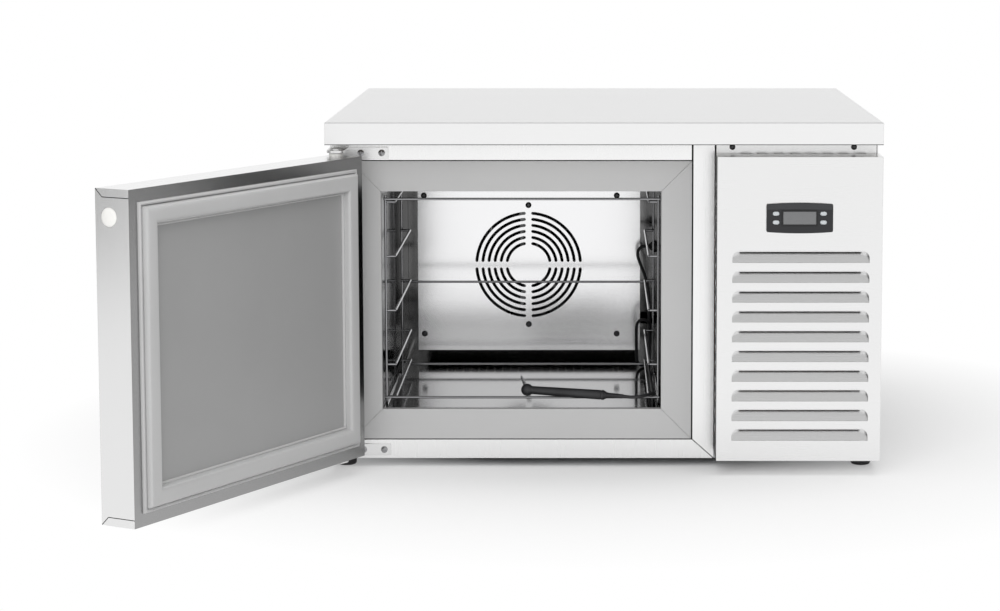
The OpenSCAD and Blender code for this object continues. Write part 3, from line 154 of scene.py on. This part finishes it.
def lamp(name, place, aim, width, height, power):
    """A soft box that faces a point; the white world gives the reflections instead."""
    data = bpy.data.lights.new(name, "AREA")
    data.shape = "RECTANGLE"
    data.size = width
    data.size_y = height
    data.energy = power
    made = bpy.data.objects.new(name, data)
    made.location = place
    made.rotation_euler = (Vector(aim) - Vector(place)).to_track_quat("-Z", "Y").to_euler()
    made.visible_glossy = False
    bpy.context.scene.collection.objects.link(made)


lamp("front_soft_box", (-0.6, -3.6, 1.7), (0, 0, 0.2), 3.0, 2.0, 60)
lamp("top_soft_box", (0.2, -0.6, 2.6), (0, 0, 0.2), 2.6, 2.2, 30)

# ---- Probe lead ----
# Black silicone lead, 4 mm across. It leaves a gland high on the cavity's right wall, hangs
# behind the rack, makes one loop and runs under the rack to the probe's handle at the front.
lead_points = [
    (61.2, 100, 225), (56, 100, 225), (51.3, 100, 223.7), (47.9, 100, 220.3), (46.6, 100, 215.6),
    (47.2, 100, 209.5), (50.6, 100, 200), (56.6, 100, 184), (61, 100, 163), (62, 100, 133),
    (62.3, 99.5, 103), (62.2, 99, 87), (62, 99, 78.5), (60.4, 97.2, 71), (56.1, 92.4, 66.4),
    (50.9, 86.6, 66.4), (46.6, 81.8, 71), (45, 80, 78.5), (44.8, 77, 88), (44.6, 70, 102),
    (44.4, 64, 115), (44.8, 60.5, 123.6), (46, 58.6, 128.2), (49.2, 57.2, 131.5),
    (53.5, 56.7, 132.7), (57.8, 57.2, 131.5), (61, 58.6, 128.2), (62.2, 60.5, 123.6),
    (62.6, 65, 113), (62.4, 69.5, 100), (62.4, 73, 90), (62.2, 72, 79), (61.8, 66, 69.5),
    (61.3, 55, 66), (61, 38, 65.8), (61.5, 0, 65.8), (62, -70, 65.8), (62.2, -135, 65.8),
    (62.3, -165, 68.5), (62.3, -188, 76), (62, -206, 82.5), (59.6, -220, 85), (54, -232, 85.6),
    (45, -240.4, 85), (34, -242.8, 84.5)]
probe_tilt = math.radians(1.65)
probe_turn = math.radians(-12.3)
handle_way = Vector((math.cos(probe_tilt) * math.cos(probe_turn),
                     math.cos(probe_tilt) * math.sin(probe_turn), -math.sin(probe_tilt)))
handle_foot = Vector((-99.2, -214.0, 88.75))
handle_l = 104.0
relief_l = 22.0
relief_tip = handle_foot + (handle_l + relief_l) * handle_way
lead_points = [Vector(p) for p in lead_points] + [relief_tip + 3 * handle_way, relief_tip]


def through(points, steps):
    """Points on the smooth curve that passes through the given ones."""
    out = []
    for i in range(len(points) - 1):
        a, b = points[max(i - 1, 0)], points[i]
        c, d = points[i + 1], points[min(i + 2, len(points) - 1)]
        for t in (k / steps for k in range(steps)):
            out.append(0.5 * (2 * b + (c - a) * t + (2 * a - 5 * b + 4 * c - d) * t * t
                              + (3 * b - a - 3 * c + d) * t * t * t))
    return out + [points[-1]]


lead_line = [p * 0.001 for p in through(lead_points, 5)]
lead_curve = bpy.data.curves.new("probe_lead_curve", "CURVE")
lead_curve.dimensions = "3D"
lead_curve.bevel_depth = 0.002
lead_curve.bevel_resolution = 4
lead_curve.use_fill_caps = True
run = lead_curve.splines.new("POLY")
run.points.add(len(lead_line) - 1)
for spot, p in zip(run.points, lead_line):
    spot.co = (*p, 1.0)
run.use_smooth = True
lead = bpy.data.objects.new("silicone_lead", lead_curve)
bpy.context.scene.collection.objects.link(lead)


def rubber(name, colour, grit, dull=0.6):
    """Moulded rubber: dark, with a dull skin whose fine grain breaks up the gloss."""
    made, tree = blank(name)
    where = add(tree, "TexCoord", {}, {})
    grain = add(tree, "TexNoise", {}, {"Vector": where.outputs["Object"], "Scale": 1 / grit,
                                      "Detail": 4.0, "Roughness": 0.6})
    dust = add(tree, "TexNoise", {}, {"Vector": where.outputs["Object"], "Scale": 30.0,
                                     "Detail": 3.0})
    shade = add(tree, "ValToRGB", {}, {"Fac": dust.outputs["Fac"]})
    shade.color_ramp.elements[0].position = 0.35
    shade.color_ramp.elements[0].color = tint(colour)
    shade.color_ramp.elements[1].position = 0.75
    worn = [min(1.0, c * 1.35 + 0.004) for c in tint(colour)[:3]]
    shade.color_ramp.elements[1].color = worn + [1]
    rough = add(tree, "MapRange", {}, {"Value": grain.outputs["Fac"], "To Min": dull * 0.8,
                                      "To Max": dull * 1.2})
    bump = add(tree, "Bump", {}, {"Height": grain.outputs["Fac"], "Strength": 0.25,
                                 "Distance": 0.0003})
    skin = add(tree, "BsdfPrincipled", {}, {
        "Base Color": shade.outputs[0], "Roughness": rough.outputs[0], "IOR": 1.52,
        "Normal": bump.outputs[0]})
    add(tree, "OutputMaterial", {}, {"Surface": skin.outputs[0]})
    return made


silicone = rubber("moulded black silicone rubber", "1C1C1E", 0.0012, 0.5)
lead_curve.materials.append(silicone)


def turned(profile, place, axis, sides=48):
    """A body turned from points (distance from the axis, place along it), in millimetres."""
    shape = bmesh.new()
    turns = [2 * math.pi * k / sides for k in range(sides)]
    rings = []
    for r, h in profile:
        around = [(r * math.cos(a), r * math.sin(a), h) for a in turns] if r else [(0, 0, h)]
        ring = [shape.verts.new(p) for p in around]
        rings.append(ring if r else ring * sides)
    for low, high in zip(rings, rings[1:]):
        for k in range(sides):
            face = (low[k - 1], low[k], high[k], high[k - 1])
            shape.faces.new(list(dict.fromkeys(face)))
    aim = Vector(axis).to_track_quat("Z", "Y").to_matrix().to_4x4()
    bmesh.ops.transform(shape, matrix=Matrix.Translation(place) @ aim, verts=shape.verts)
    return shape


def piece(name, shapes, material, body, slot, *nodes, crease=32):
    """Joins shapes drawn in millimetres into one finished piece that stands for CAD nodes."""
    data = bpy.data.meshes.new(name)
    whole = bmesh.new()
    for shape in shapes:
        bmesh.ops.remove_doubles(shape, verts=shape.verts, dist=0.001)
        bmesh.ops.recalc_face_normals(shape, faces=shape.faces)
        for face in shape.faces:
            face.smooth = True
        for edge in shape.edges:
            if edge.is_manifold and edge.calc_face_angle() > math.radians(crease):
                edge.smooth = False
        bmesh.ops.scale(shape, vec=(0.001, 0.001, 0.001), verts=shape.verts)
        shape.to_mesh(data)
        shape.free()
        whole.from_mesh(data)
    whole.to_mesh(data)
    whole.free()
    data.materials.append(material)
    made = bpy.data.objects.new(name, data)
    bpy.context.scene.collection.objects.link(made)
    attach(made, body)
    if nodes:
        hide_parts(*nodes)
    return made


# The strain relief is a sleeve with shallow ribs; the gland has a domed flange and a neck
rib_step = 2.8
ribs = [p for i in range(6) for p in (
    (3.5 - 0.12 * i, 3.0 + rib_step * i), (3.0 - 0.08 * i, 3.5 + rib_step * i),
    (3.0 - 0.08 * i, 4.4 + rib_step * i), (3.4 - 0.12 * i, 4.9 + rib_step * i))]
relief = piece("strain_relief", [turned(
    [(0, 0), (3.72, 0), (3.72, 1.6), (3.5, 2.2), *ribs, (2.75, 20.5), (2.4, relief_l),
     (0, relief_l)],
    handle_foot + handle_l * handle_way, handle_way, 32)], silicone, "cabinet", "black_rubber",
    "lead_relief")
gland_place = (71.2, 100, 225)
gland = piece("wall_gland", [turned(
    [(0, -8), (4, -8), (4, 0), (8, 0), (8, 2.8), (7.6, 3.6), (6.6, 4), (6.3, 5.6), (4.6, 7.6),
     (3.3, 9.2), (2.7, 10), (0, 10)], gland_place, (-1, 0, 0), 40)],
    rubber("moulded black gland rubber", "19191B", 0.001), "cabinet", "black_rubber", "lead_gland")

# ---- Probe ----
# A black moulded handle, thicker towards the lead, with a ball at its head, and a thin
# stainless needle that stands out of the ball square to the handle.
ball = [(7.5 * math.cos(math.radians(a)), 6 + 7.5 * math.sin(math.radians(a)))
        for a in range(-90, 48, 8)]
piece("probe_grip", [turned(
    [(0, -1.5), *ball[1:], (5.05, 12.4), (5.0, 15), (5.35, 40), (5.9, 97), (5.55, 97.6),
     (5.55, 98.6), (6.0, 99.2), (6.0, 101.4), (5.6, 102), (4.9, 102.2), (4.9, handle_l),
     (0, handle_l)], handle_foot, handle_way, 56)],
    rubber("moulded black probe plastic", "232325", 0.0008, 0.42), "cabinet", "black_plastic",
    "probe_handle", crease=24)
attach(lead, "cabinet")
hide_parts("probe_lead")


def wear(material, *names):
    """Gives CAD nodes their finish."""
    for name in names:
        node[name].data.materials.clear()
        node[name].data.materials.append(material)


def mottled(tree, share, colour, uneven):
    """A colour that wanders a little to both sides of the given one."""
    shade = add(tree, "ValToRGB", {}, {"Fac": share})
    ends = zip(shade.color_ramp.elements, (0.3, 0.7), (1 - uneven, 1 + uneven))
    for end, position, change in ends:
        end.position = position
        end.color = [min(1, c * change) for c in tint(colour)[:3]] + [1]
    return shade.outputs[0]


def steel(name, colour, rough, grain, along, uneven=0.02, mirror=0.0, rim="FFFFFF",
          facing=None, painted_light_and_shade=(), joint_and_shade_lines=(), metal=1.0):
    """Metal sheet or wire: grain lines run along one axis, and the finish is never quite even.
    rim is its colour at a glancing angle. Faces that look the way of facing take a second pair of
    colours, base and rim: painted reflection that lightens the liner's floor, and painted shade
    that darkens the grille's side flange and the door's inner margins. Dark lines, each given by a
    start, an end and a half width in millimetres, are painted over the colour: some are real
    joints, one is painted shade in a gap and one a painted dark reflection along a hem. metal is
    the share of the light that it mirrors, and fine brushing scatters the rest."""
    made, tree = blank(name)
    where = add(tree, "TexCoord", {}, {})
    stretch = [1 / grain] * 3
    stretch["XYZ".index(along)] = 6.0
    lines = add(tree, "Mapping", {}, {"Vector": where.outputs["Object"], "Scale": stretch})
    lines = add(tree, "TexNoise", {}, {"Vector": lines.outputs[0], "Scale": 1.0, "Detail": 3.0,
                                      "Roughness": 0.7})
    cloud = add(tree, "TexNoise", {}, {"Vector": where.outputs["Object"], "Scale": 5.0,
                                      "Detail": 2.0})
    both = add(tree, "Mix", {"data_type": "FLOAT"}, {0: 0.5, 2: lines.outputs["Fac"],
                                                    3: cloud.outputs["Fac"]})
    colour_out, glance = mottled(tree, both.outputs[0], colour, uneven), tint(rim)
    # Faces that look the way of facing are painted with the second colours: painted reflection on
    # the liner's floor, painted shade on the grille's flange and the door's margins.
    if facing:
        way = add(tree, "VectorMath", {"operation": "DOT_PRODUCT"}, {
            0: where.outputs["Normal"], 1: facing})
        that = add(tree, "MapRange", {}, {"Value": way.outputs["Value"], "From Min": 0.6,
                                         "From Max": 0.9})
        colour_out, glance = [add(tree, "Mix", {"data_type": "RGBA"}, {
            0: that.outputs[0], 6: side, 7: tint(code)}).outputs[2]
            for side, code in zip((colour_out, glance), painted_light_and_shade)]
    # Each dark line is painted 262626: real joints on the frame and the door, painted shade on the
    # panel rail, a painted dark reflection on the worktop's lip.
    for start, end, half in joint_and_shade_lines:
        start, way = 0.001 * Vector(start), 0.001 * (Vector(end) - Vector(start))
        off = add(tree, "VectorMath", {"operation": "SUBTRACT"}, {0: where.outputs["Object"],
                                                                 1: start})
        share = add(tree, "VectorMath", {"operation": "DOT_PRODUCT"}, {
            0: off.outputs[0], 1: way / way.length_squared})
        share = add(tree, "Clamp", {}, {"Value": share.outputs["Value"]})
        foot = add(tree, "VectorMath", {"operation": "SCALE"}, {0: way, "Scale": share.outputs[0]})
        apart = add(tree, "VectorMath", {"operation": "DISTANCE"}, {0: off.outputs[0],
                                                                   1: foot.outputs[0]})
        near = add(tree, "Math", {"operation": "LESS_THAN"}, {0: apart.outputs["Value"],
                                                             1: 0.001 * half})
        colour_out = add(tree, "Mix", {"data_type": "RGBA"}, {
            0: near.outputs[0], 6: colour_out, 7: tint("262626")}).outputs[2]
    dull = add(tree, "MapRange", {}, {"Value": lines.outputs["Fac"], "To Min": rough * 0.8,
                                     "To Max": rough * 1.2})
    edge = add(tree, "Bevel", {"samples": 4}, {"Radius": 0.0006})
    bump = add(tree, "Bump", {}, {"Height": lines.outputs["Fac"], "Strength": 0.1 * (1 - mirror),
                                 "Distance": 0.0002, "Normal": edge.outputs[0]})
    skin = add(tree, "BsdfPrincipled", {}, {
        "Base Color": colour_out, "Metallic": metal, "Roughness": dull.outputs[0],
        "Specular Tint": glance, "Normal": bump.outputs[0]})
    add(tree, "OutputMaterial", {}, {"Surface": skin.outputs[0]})
    return made


wear(steel("polished stainless needle", "606062", 0.14, 0.001, "Y"), "probe_needle")

# ---- Cabinet ----
# Folded stainless sheet with a satin brushed finish, on four black rubber feet. Its worktop is
# a lid over a board, with a deep lip folded down at the front.
# A dark line is painted along the foot of the lip: a painted reflection of the dark that its
# rounded hem mirrors.
lip_edge_painted_reflection = [((-329, -300, 396.2), (329, -300, 396.2), 0.6)]
wear(steel("satin brushed worktop, grain across", "F5F5F5", 0.3, 0.0012, "X", 0.012, rim="ECECEC",
           joint_and_shade_lines=lip_edge_painted_reflection), "worktop")
satin_z = steel("satin brushed stainless, grain upright", "E4E4E4", 0.28, 0.0012, "Z", 0.015)
wear(satin_z, "left_side_panel", "right_side_panel", "back_panel")
wear(steel("mill-finish galvanised sheet", "B4B6B8", 0.42, 0.002, "Y", 0.1),
     "base_pan", "divider_panel", "motor_bracket")
# A dark line is painted on the rail along the panel's top edge: painted shade in the gap there.
painted_shade_over_panel = [((133, -250, 383.4), (330, -250, 383.4), 1.1)]
wear(steel("mill-finish galvanised rail", "D8D8D8", 0.36, 0.002, "X", 0.04,
           joint_and_shade_lines=painted_shade_over_panel), "panel_rail")
foot_profile = [(0, 2), (3.2, 2), (3.6, 0), (9.2, 0), (10.8, 0.6), (11.8, 2.0), (12, 3.4),
                (12, 8.2), (11.5, 8.8), (11.5, 10), (0, 10)]
foot_places = [(x, y, 0) for x in (-313, 313) for y in (-230, 285)]
foot_rubber = rubber("moulded black foot rubber", "161618", 0.001)
piece("rubber_feet", [turned(foot_profile, place, (0, 0, 1), 40) for place in foot_places],
      foot_rubber, "cabinet", "black_rubber", "feet")

# The painted shade on the foam's front ends this far back, in metres
painted_shade_end = -0.2415


def board(name, colour, deep, shade_painted=False):
    """Particle board or foam: short flakes in two tones. Foam can have its front painted dark, as
    painted shade in the joint that it shows through.
    """
    made, tree = blank(name)
    where = add(tree, "TexCoord", {}, {})
    flakes = add(tree, "TexVoronoi", {"feature": "F1"}, {"Vector": where.outputs["Object"],
                                                        "Scale": 240.0})
    shade = add(tree, "ValToRGB", {}, {"Fac": flakes.outputs["Color"]})
    shade.color_ramp.elements[0].color = tint(deep)
    shade.color_ramp.elements[1].color = tint(colour)
    colour_out = shade.outputs[0]
    # The foam's front is painted 1A1A1C: painted shade where it shows through the joint between
    # frame and collar.
    if shade_painted:
        spot = add(tree, "SeparateXYZ", {}, {0: where.outputs["Object"]})
        front = add(tree, "Math", {"operation": "LESS_THAN"}, {0: spot.outputs["Y"], 1: painted_shade_end})
        colour_out = add(tree, "Mix", {"data_type": "RGBA"}, {
            0: front.outputs[0], 6: shade.outputs[0], 7: tint("1A1A1C")}).outputs[2]
    skin = add(tree, "BsdfPrincipled", {}, {"Base Color": colour_out, "Roughness": 0.8,
                                           "IOR": 1.5})
    add(tree, "OutputMaterial", {}, {"Surface": skin.outputs[0]})
    return made


wear(board("raw particle board", "A9A49C", "7C776E"), "worktop_core")
# Its front is painted dark as shade.
wear(board("rigid polyurethane foam, taped at the front", "E3D29C", "CDB878", True), "insulation")
wear(board("rigid polyurethane foam", "E3D29C", "CDB878"), "door_insulation")

# ---- Mouth ----
# The front frame is satin stainless with mitred corners. Inside it lies a duller grey steel
# collar that the gasket closes on, and behind that the bright liner.
# The frame's upright joint beside the machine bay, and the mitre at its foot
joint_foot = (106.4, -245, 34)
frame_joints = [(joint_foot, (106.4, -245, 400), 1.1), (joint_foot, (133, -245, 10), 0.5)]
wear(steel("satin stainless front frame", "F8F8F8", 0.26, 0.0012, "Z", 0.012,
           joint_and_shade_lines=frame_joints), "front_frame")
wear(steel("dull brushed steel collar", "C6C6C6", 0.5, 0.0012, "X", 0.03, rim="E0E0E0",
           metal=0.5), "mouth_collar")
# The liner's floor is painted lighter than its walls, D6D6D6 against 868686: painted reflection of
# the bright baffle in the floor and of the dark cavity in the walls.
wear(steel("bright annealed stainless liner", "868686", 0.1, 0.0015, "Z", 0.08, 0.6,
           rim="A6A6A6", facing=(0, 0, 1), painted_light_and_shade=("D6D6D6", "D6D6D6")), "cavity_liner")


def plastic(name, colour, rough, grit, uneven=0.05):
    """Moulded or extruded plastic with a slightly mottled tone and a fine eggshell grain."""
    made, tree = blank(name)
    where = add(tree, "TexCoord", {}, {})
    cloud = add(tree, "TexNoise", {}, {"Vector": where.outputs["Object"], "Scale": 9.0,
                                      "Detail": 3.0})
    grain = add(tree, "TexNoise", {}, {"Vector": where.outputs["Object"], "Scale": 1 / grit,
                                      "Detail": 2.0})
    shade = mottled(tree, cloud.outputs["Fac"], colour, uneven)
    dull = add(tree, "MapRange", {}, {"Value": grain.outputs["Fac"], "To Min": rough * 0.85,
                                     "To Max": rough * 1.15})
    edge = add(tree, "Bevel", {"samples": 4}, {"Radius": 0.0005})
    bump = add(tree, "Bump", {}, {"Height": grain.outputs["Fac"], "Strength": 0.08,
                                 "Distance": 0.0002, "Normal": edge.outputs[0]})
    skin = add(tree, "BsdfPrincipled", {}, {
        "Base Color": shade, "Roughness": dull.outputs[0], "IOR": 1.5,
        "Normal": bump.outputs[0]})
    add(tree, "OutputMaterial", {}, {"Surface": skin.outputs[0]})
    return made


# ---- Fan baffle, fan and coil ----
# A bright sheet with six rings of pressed slots, held by six dark screws. Behind it turn a
# black fan and a coil with a dark coating against corrosion.
wear(steel("bright stainless baffle", "FAFAFB", 0.19, 0.0015, "X", 0.01, 0.5), "fan_baffle")
dark_screw = steel("blackened screw steel", "5A5A5C", 0.3, 0.001, "Z")
wear(dark_screw, "baffle_screws", "panel_screws")
fan_black = plastic("moulded black fan plastic", "1E1E20", 0.45, 0.001)
wear(fan_black, "evaporator_fan", "condenser_fan")
enamel = plastic("black enamelled case", "1A1A1C", 0.4, 0.001)
wear(enamel, "evaporator_motor", "condenser_motor", "compressor", "condenser_shroud")
wear(plastic("dark epoxy coil coating", "46484A", 0.45, 0.001), "evaporator_fins",
     "evaporator_tubes")

# ---- Wire rack ----
# Welded stainless wire, electropolished: four uprights and five U-shaped ledges a side.
wear(steel("electropolished wire", "A0A0A2", 0.12, 0.001, "Z", 0.05, 0.6), "wire_rack")

# ---- Louvred panel ----
# One folded sheet with ten pressed louvres, screwed to a rail under the worktop.
# The sheet's faces that look left, its side flange by the frame, are painted dark, 9C9C9C with a
# 1C1C1C rim: painted shade in the gap there.
wear(steel("satin brushed panel, grain across", "F0F0F0", 0.26, 0.0012, "X", 0.012,
           facing=(-1, 0, 0), painted_light_and_shade=("9C9C9C", "1C1C1C")), "grille_panel")

# ---- Controller ----
# A black bezel with bowed edges, a smoked window in a raised frame and four pale keys. Over
# the window the bezel swells into a visor.
# All its shapes are drawn round the middle of its place on the panel's face.
ctrl = Vector((230.9, -300.0, 309.8))
bezel_black = plastic("moulded black controller plastic", "1B1C1F", 0.34, 0.0006)
wear(bezel_black, "controller_bezel", "controller_body")
bow_r = 483.5
bow_top = 18.1
visor_half = 38.6
corner_r = 4
rows = []
for i in range(33):
    x = -visor_half + 2 * visor_half * i / 32
    bowed = bow_top - bow_r + math.sqrt(bow_r ** 2 - x ** 2)
    corner = 14.1 + math.sqrt(max(0.0, corner_r ** 2 - max(0.0, abs(x) - 35.3) ** 2))
    rows.append((x, min(bowed, corner) - 0.25))
visor = bmesh.new()
for high, low in zip(rows, rows[1:]):
    edge_low = [10.3 - 0.0004 * p[0] ** 2 for p in (high, low)]
    profile = [[(p[0], -2.4, p[1]), (p[0], -3.0, p[1] - 0.6), (p[0], -3.7, e + 0.5),
                (p[0], -3.5, e), (p[0], -2.4, e)] for p, e in zip((high, low), edge_low)]
    for k in range(4):
        visor.faces.new([visor.verts.new(ctrl + Vector(p)) for p in (
            profile[0][k], profile[1][k], profile[1][k + 1], profile[0][k + 1])])
# The visor is painted a little lighter than the bezel, 2C2D30 against 1B1C1F, as a painted sheen
# on the same black plastic.
piece("bezel_visor", [visor], plastic("glossy black visor plastic", "2C2D30", 0.24, 0.0008),
      "cabinet", "black_plastic", crease=28)


def rounded(width, height, radius, y, steps=8):
    """Corner-rounded outline round the controller's middle."""
    return [ctrl + Vector((sx * (width / 2 - radius) + radius * math.cos(a), y,
                           sz * (height / 2 - radius) + radius * math.sin(a)))
            for q, (sx, sz) in enumerate(((1, 1), (-1, 1), (-1, -1), (1, -1)))
            for a in (math.pi / 2 * (q + k / steps) for k in range(steps + 1))]


def bridged(outlines):
    """A surface through closed outlines, one after another."""
    shape = bmesh.new()
    loops = []
    for outline in outlines:
        dots = [shape.verts.new(p) for p in outline]
        loops.append([shape.edges.new((dots[i], dots[(i + 1) % len(dots)]))
                      for i in range(len(dots))])
    for one, other in zip(loops, loops[1:]):
        bmesh.ops.bridge_loops(shape, edges=one + other)
    return shape


piece("window_frame", [bridged([rounded(43.4, 19.4, 2.4, -2.4), rounded(43.2, 19.2, 2.3, -3.0),
                                rounded(42.4, 18.4, 2.0, -3.1), rounded(39.6, 16.0, 1.2, -2.75),
                                rounded(39.2, 15.6, 1.0, -2.2)])],
      plastic("glossy black frame plastic", "0C0C0E", 0.3, 0.0008), "cabinet", "black_plastic",
      crease=40)
wear(plastic("smoked display window", "747576", 0.1, 0.002), "display_window")
key_pale = plastic("moulded pale key plastic", "C4C9CC", 0.3, 0.0006)
key_x, key_back, key_z = 28, 1.3, 5.2
for across, across_name in ((-1, "left"), (1, "right")):
    for high, high_name in ((1, "upper"), (-1, "lower")):
        cap = bmesh.new()
        bmesh.ops.create_circle(cap, cap_ends=True, radius=2.5, segments=40)
        for dot in cap.verts:
            dot.co.x += math.copysign(1.5, dot.co.x) if abs(dot.co.x) > 0.01 else 0.0
        top = bmesh.ops.extrude_face_region(cap, geom=list(cap.faces))
        crown = [v for v in top["geom"] if isinstance(v, bmesh.types.BMVert)]
        bmesh.ops.translate(cap, vec=(0, 0, 4.3), verts=crown)
        rim = [e for e in cap.edges if all(v in crown for v in e.verts)]
        bmesh.ops.bevel(cap, geom=rim, offset=1.1, segments=5, profile=0.5, affect="EDGES",
                        material=-1)
        spot = ctrl + Vector((key_x * across, key_back, key_z * high))
        bmesh.ops.transform(cap, matrix=Matrix.Translation(spot) @ Matrix.Rotation(
            math.pi / 2, 4, "X"), verts=cap.verts)
        name = f"key_{high_name}_{across_name}"
        piece(name + "_cap", [cap], key_pale, name, "pale_keys", name, crease=24)

# ---- Door ----
# A foam-filled pan of satin stainless with folded flaps on its free end, a grey inner panel
# and a white plug over the foaming hole. Its shapes are drawn shut and then swung open.
hinge_x, hinge_y = -317, -286
open_angle = math.radians(119)
hinge = Matrix.Translation((hinge_x, hinge_y, 0))
opened = hinge @ Matrix.Rotation(-open_angle, 4, "Z") @ hinge.inverted()
free_end_x = 104
flap_front_y, flap_knee_y, flap_back_y = -300, -291, -256
folds = []
for corner_z, knee_z in ((23, 32), (382, 373)):
    corner, knee, back = [opened @ Vector((free_end_x, y, z)) for y, z in (
        (flap_front_y, corner_z), (flap_knee_y, knee_z), (flap_back_y, knee_z))]
    folds += [(corner, knee, 0.45), (knee, back, 0.45)]
# The pan's faces that look into the door, its margins round the inner panel, are painted darker,
# A4A4A4: painted shade for the dark they reflect.
wear(steel("satin stainless door pan, grain upright", "EAEAEA", 0.22, 0.0012, "Z", 0.015,
           facing=opened.to_3x3() @ Vector((0, 1, 0)), painted_light_and_shade=("A4A4A4", "A4A4A4"),
           joint_and_shade_lines=folds),
     "door_outer_pan")
wear(plastic("grey lacquered inner sheet", "9E9E9E", 0.4, 0.0015, 0.02), "door_inner_panel")
white_nylon = plastic("moulded white nylon", "F2F1EE", 0.35, 0.001, 0.02)
wear(white_nylon, "door_plug", "upper_door_bush", "lower_door_bush", "electrical_box")

# ---- Door gasket ----
# A push-in magnetic gasket, extruded in grey PVC and welded at the mitred corners: an outer
# bead, a groove, the hollow bulge with the magnet and a thin inner lip.
flat = 0.55
hump = [(0.53 - 0.35 * math.copysign(abs(math.cos(a)) ** flat, math.cos(a)),
         0.3 + 0.7 * math.sin(a) ** flat) for a in (math.pi * k / 28 for k in range(29))]
section = [(0.16, -0.04), (0.0, 0.0), (0.0, 0.26), (0.015, 0.35), (0.045, 0.41), (0.08, 0.42),
           (0.115, 0.39), (0.135, 0.32), (0.148, 0.2), (0.165, 0.15), *hump, (0.895, 0.17),
           (0.915, 0.19), (0.935, 0.235), (0.96, 0.24), (0.985, 0.18), (1.0, 0.1), (1.0, 0.0),
           (0.84, -0.04)]
half_w, half_h = 201.5, 165.5
mid_x, mid_z = -111.5, 202.5
foot_y = -257.0
seal_w, seal_t = 28, 10.5
corners = [[Vector((mid_x + sx * (half_w - seal_w * i), foot_y + seal_t * o,
                    mid_z + sz * (half_h - seal_w * i))) for i, o in section]
           for sx, sz in ((-1, -1), (1, -1), (1, 1), (-1, 1))]
seal = bridged(corners + corners[:1])
bmesh.ops.transform(seal, matrix=opened, verts=seal.verts)
gasket_vinyl = plastic("extruded grey gasket vinyl", "BEBEBE", 0.45, 0.001, 0.02)
piece("magnetic_gasket", [seal], gasket_vinyl, "door", "gasket", "door_gasket", crease=38)

# ---- Hinges ----
# Bent steel brackets with shoulder pins, each held by two screws. The door turns on nylon
# bushes over the pins.
wear(steel("zinc-plated hinge steel", "ECECEC", 0.26, 0.001, "X"), "upper_hinge_bracket",
     "lower_hinge_bracket", "upper_hinge_pin", "lower_hinge_pin")
wear(steel("zinc-plated screw steel", "A8A8AA", 0.3, 0.001, "X"), "hinge_screws")

# ---- Machine bay ----
# Aluminium fins on copper tubes, a drier and pipes of the same copper, rubber mounts with a
# waist under the black compressor, and a nylon gland for the mains lead.
wear(steel("mill aluminium fin", "D4D5D8", 0.4, 0.001, "Z"), "condenser_fins")


# The face of the cavity's right wall, in metres
wall_x = 0.0712


def copper(name, shade_painted_inside):
    """Drawn copper; inside the cavity's wall the pipes can be painted black, as painted shade
    behind the baffle's slots.
    """
    made, tree = blank(name)
    where = add(tree, "TexCoord", {}, {})
    patch = add(tree, "TexNoise", {}, {"Vector": where.outputs["Object"], "Scale": 40.0,
                                      "Detail": 4.0})
    shade = add(tree, "ValToRGB", {}, {"Fac": patch.outputs["Fac"]})
    shade.color_ramp.elements[0].color = tint("8A4A30")
    shade.color_ramp.elements[1].color = tint("C88060")
    rough = add(tree, "MapRange", {}, {"Value": patch.outputs["Fac"], "To Min": 0.22,
                                      "To Max": 0.42})
    metal = add(tree, "BsdfPrincipled", {}, {"Base Color": shade.outputs[0], "Metallic": 1.0,
                                            "Roughness": rough.outputs[0]})
    skin = metal.outputs[0]
    if shade_painted_inside:
        spot = add(tree, "SeparateXYZ", {}, {0: where.outputs["Object"]})
        inside = add(tree, "Math", {"operation": "LESS_THAN"}, {0: spot.outputs["X"], 1: wall_x})
        # This black skin is painted shade where the pipes would show through the baffle's slots.
        foam = add(tree, "BsdfDiffuse", {}, {"Color": tint("141416")})
        skin = add(tree, "MixShader", {}, {0: inside.outputs[0], 1: metal.outputs[0],
                                          2: foam.outputs[0]}).outputs[0]
    add(tree, "OutputMaterial", {}, {"Surface": skin})
    return made


wear(copper("drawn copper tube", False), "condenser_tubes", "filter_drier")
# Inside the cavity's wall these pipes are painted black as shade.
wear(copper("drawn copper pipe with painted_shade", True), "copper_lines")
mount_profile = [(0, 11), (12, 11), (12, 13), (9.6, 15.5), (9.6, 20.5), (12, 23), (12, 25),
                 (4.9, 25), (4.9, 28), (9, 28), (9, 30.4), (7.4, 32), (0, 32)]
mount_places = [(x, y, 0) for x in (162, 298) for y in (132, 228)]
piece("shock_mounts", [turned(mount_profile, place, (0, 0, 1), 32) for place in mount_places],
      foot_rubber, "cabinet", "black_rubber", "compressor_mounts")
wear(plastic("moulded black nylon gland", "202022", 0.4, 0.001), "power_gland")
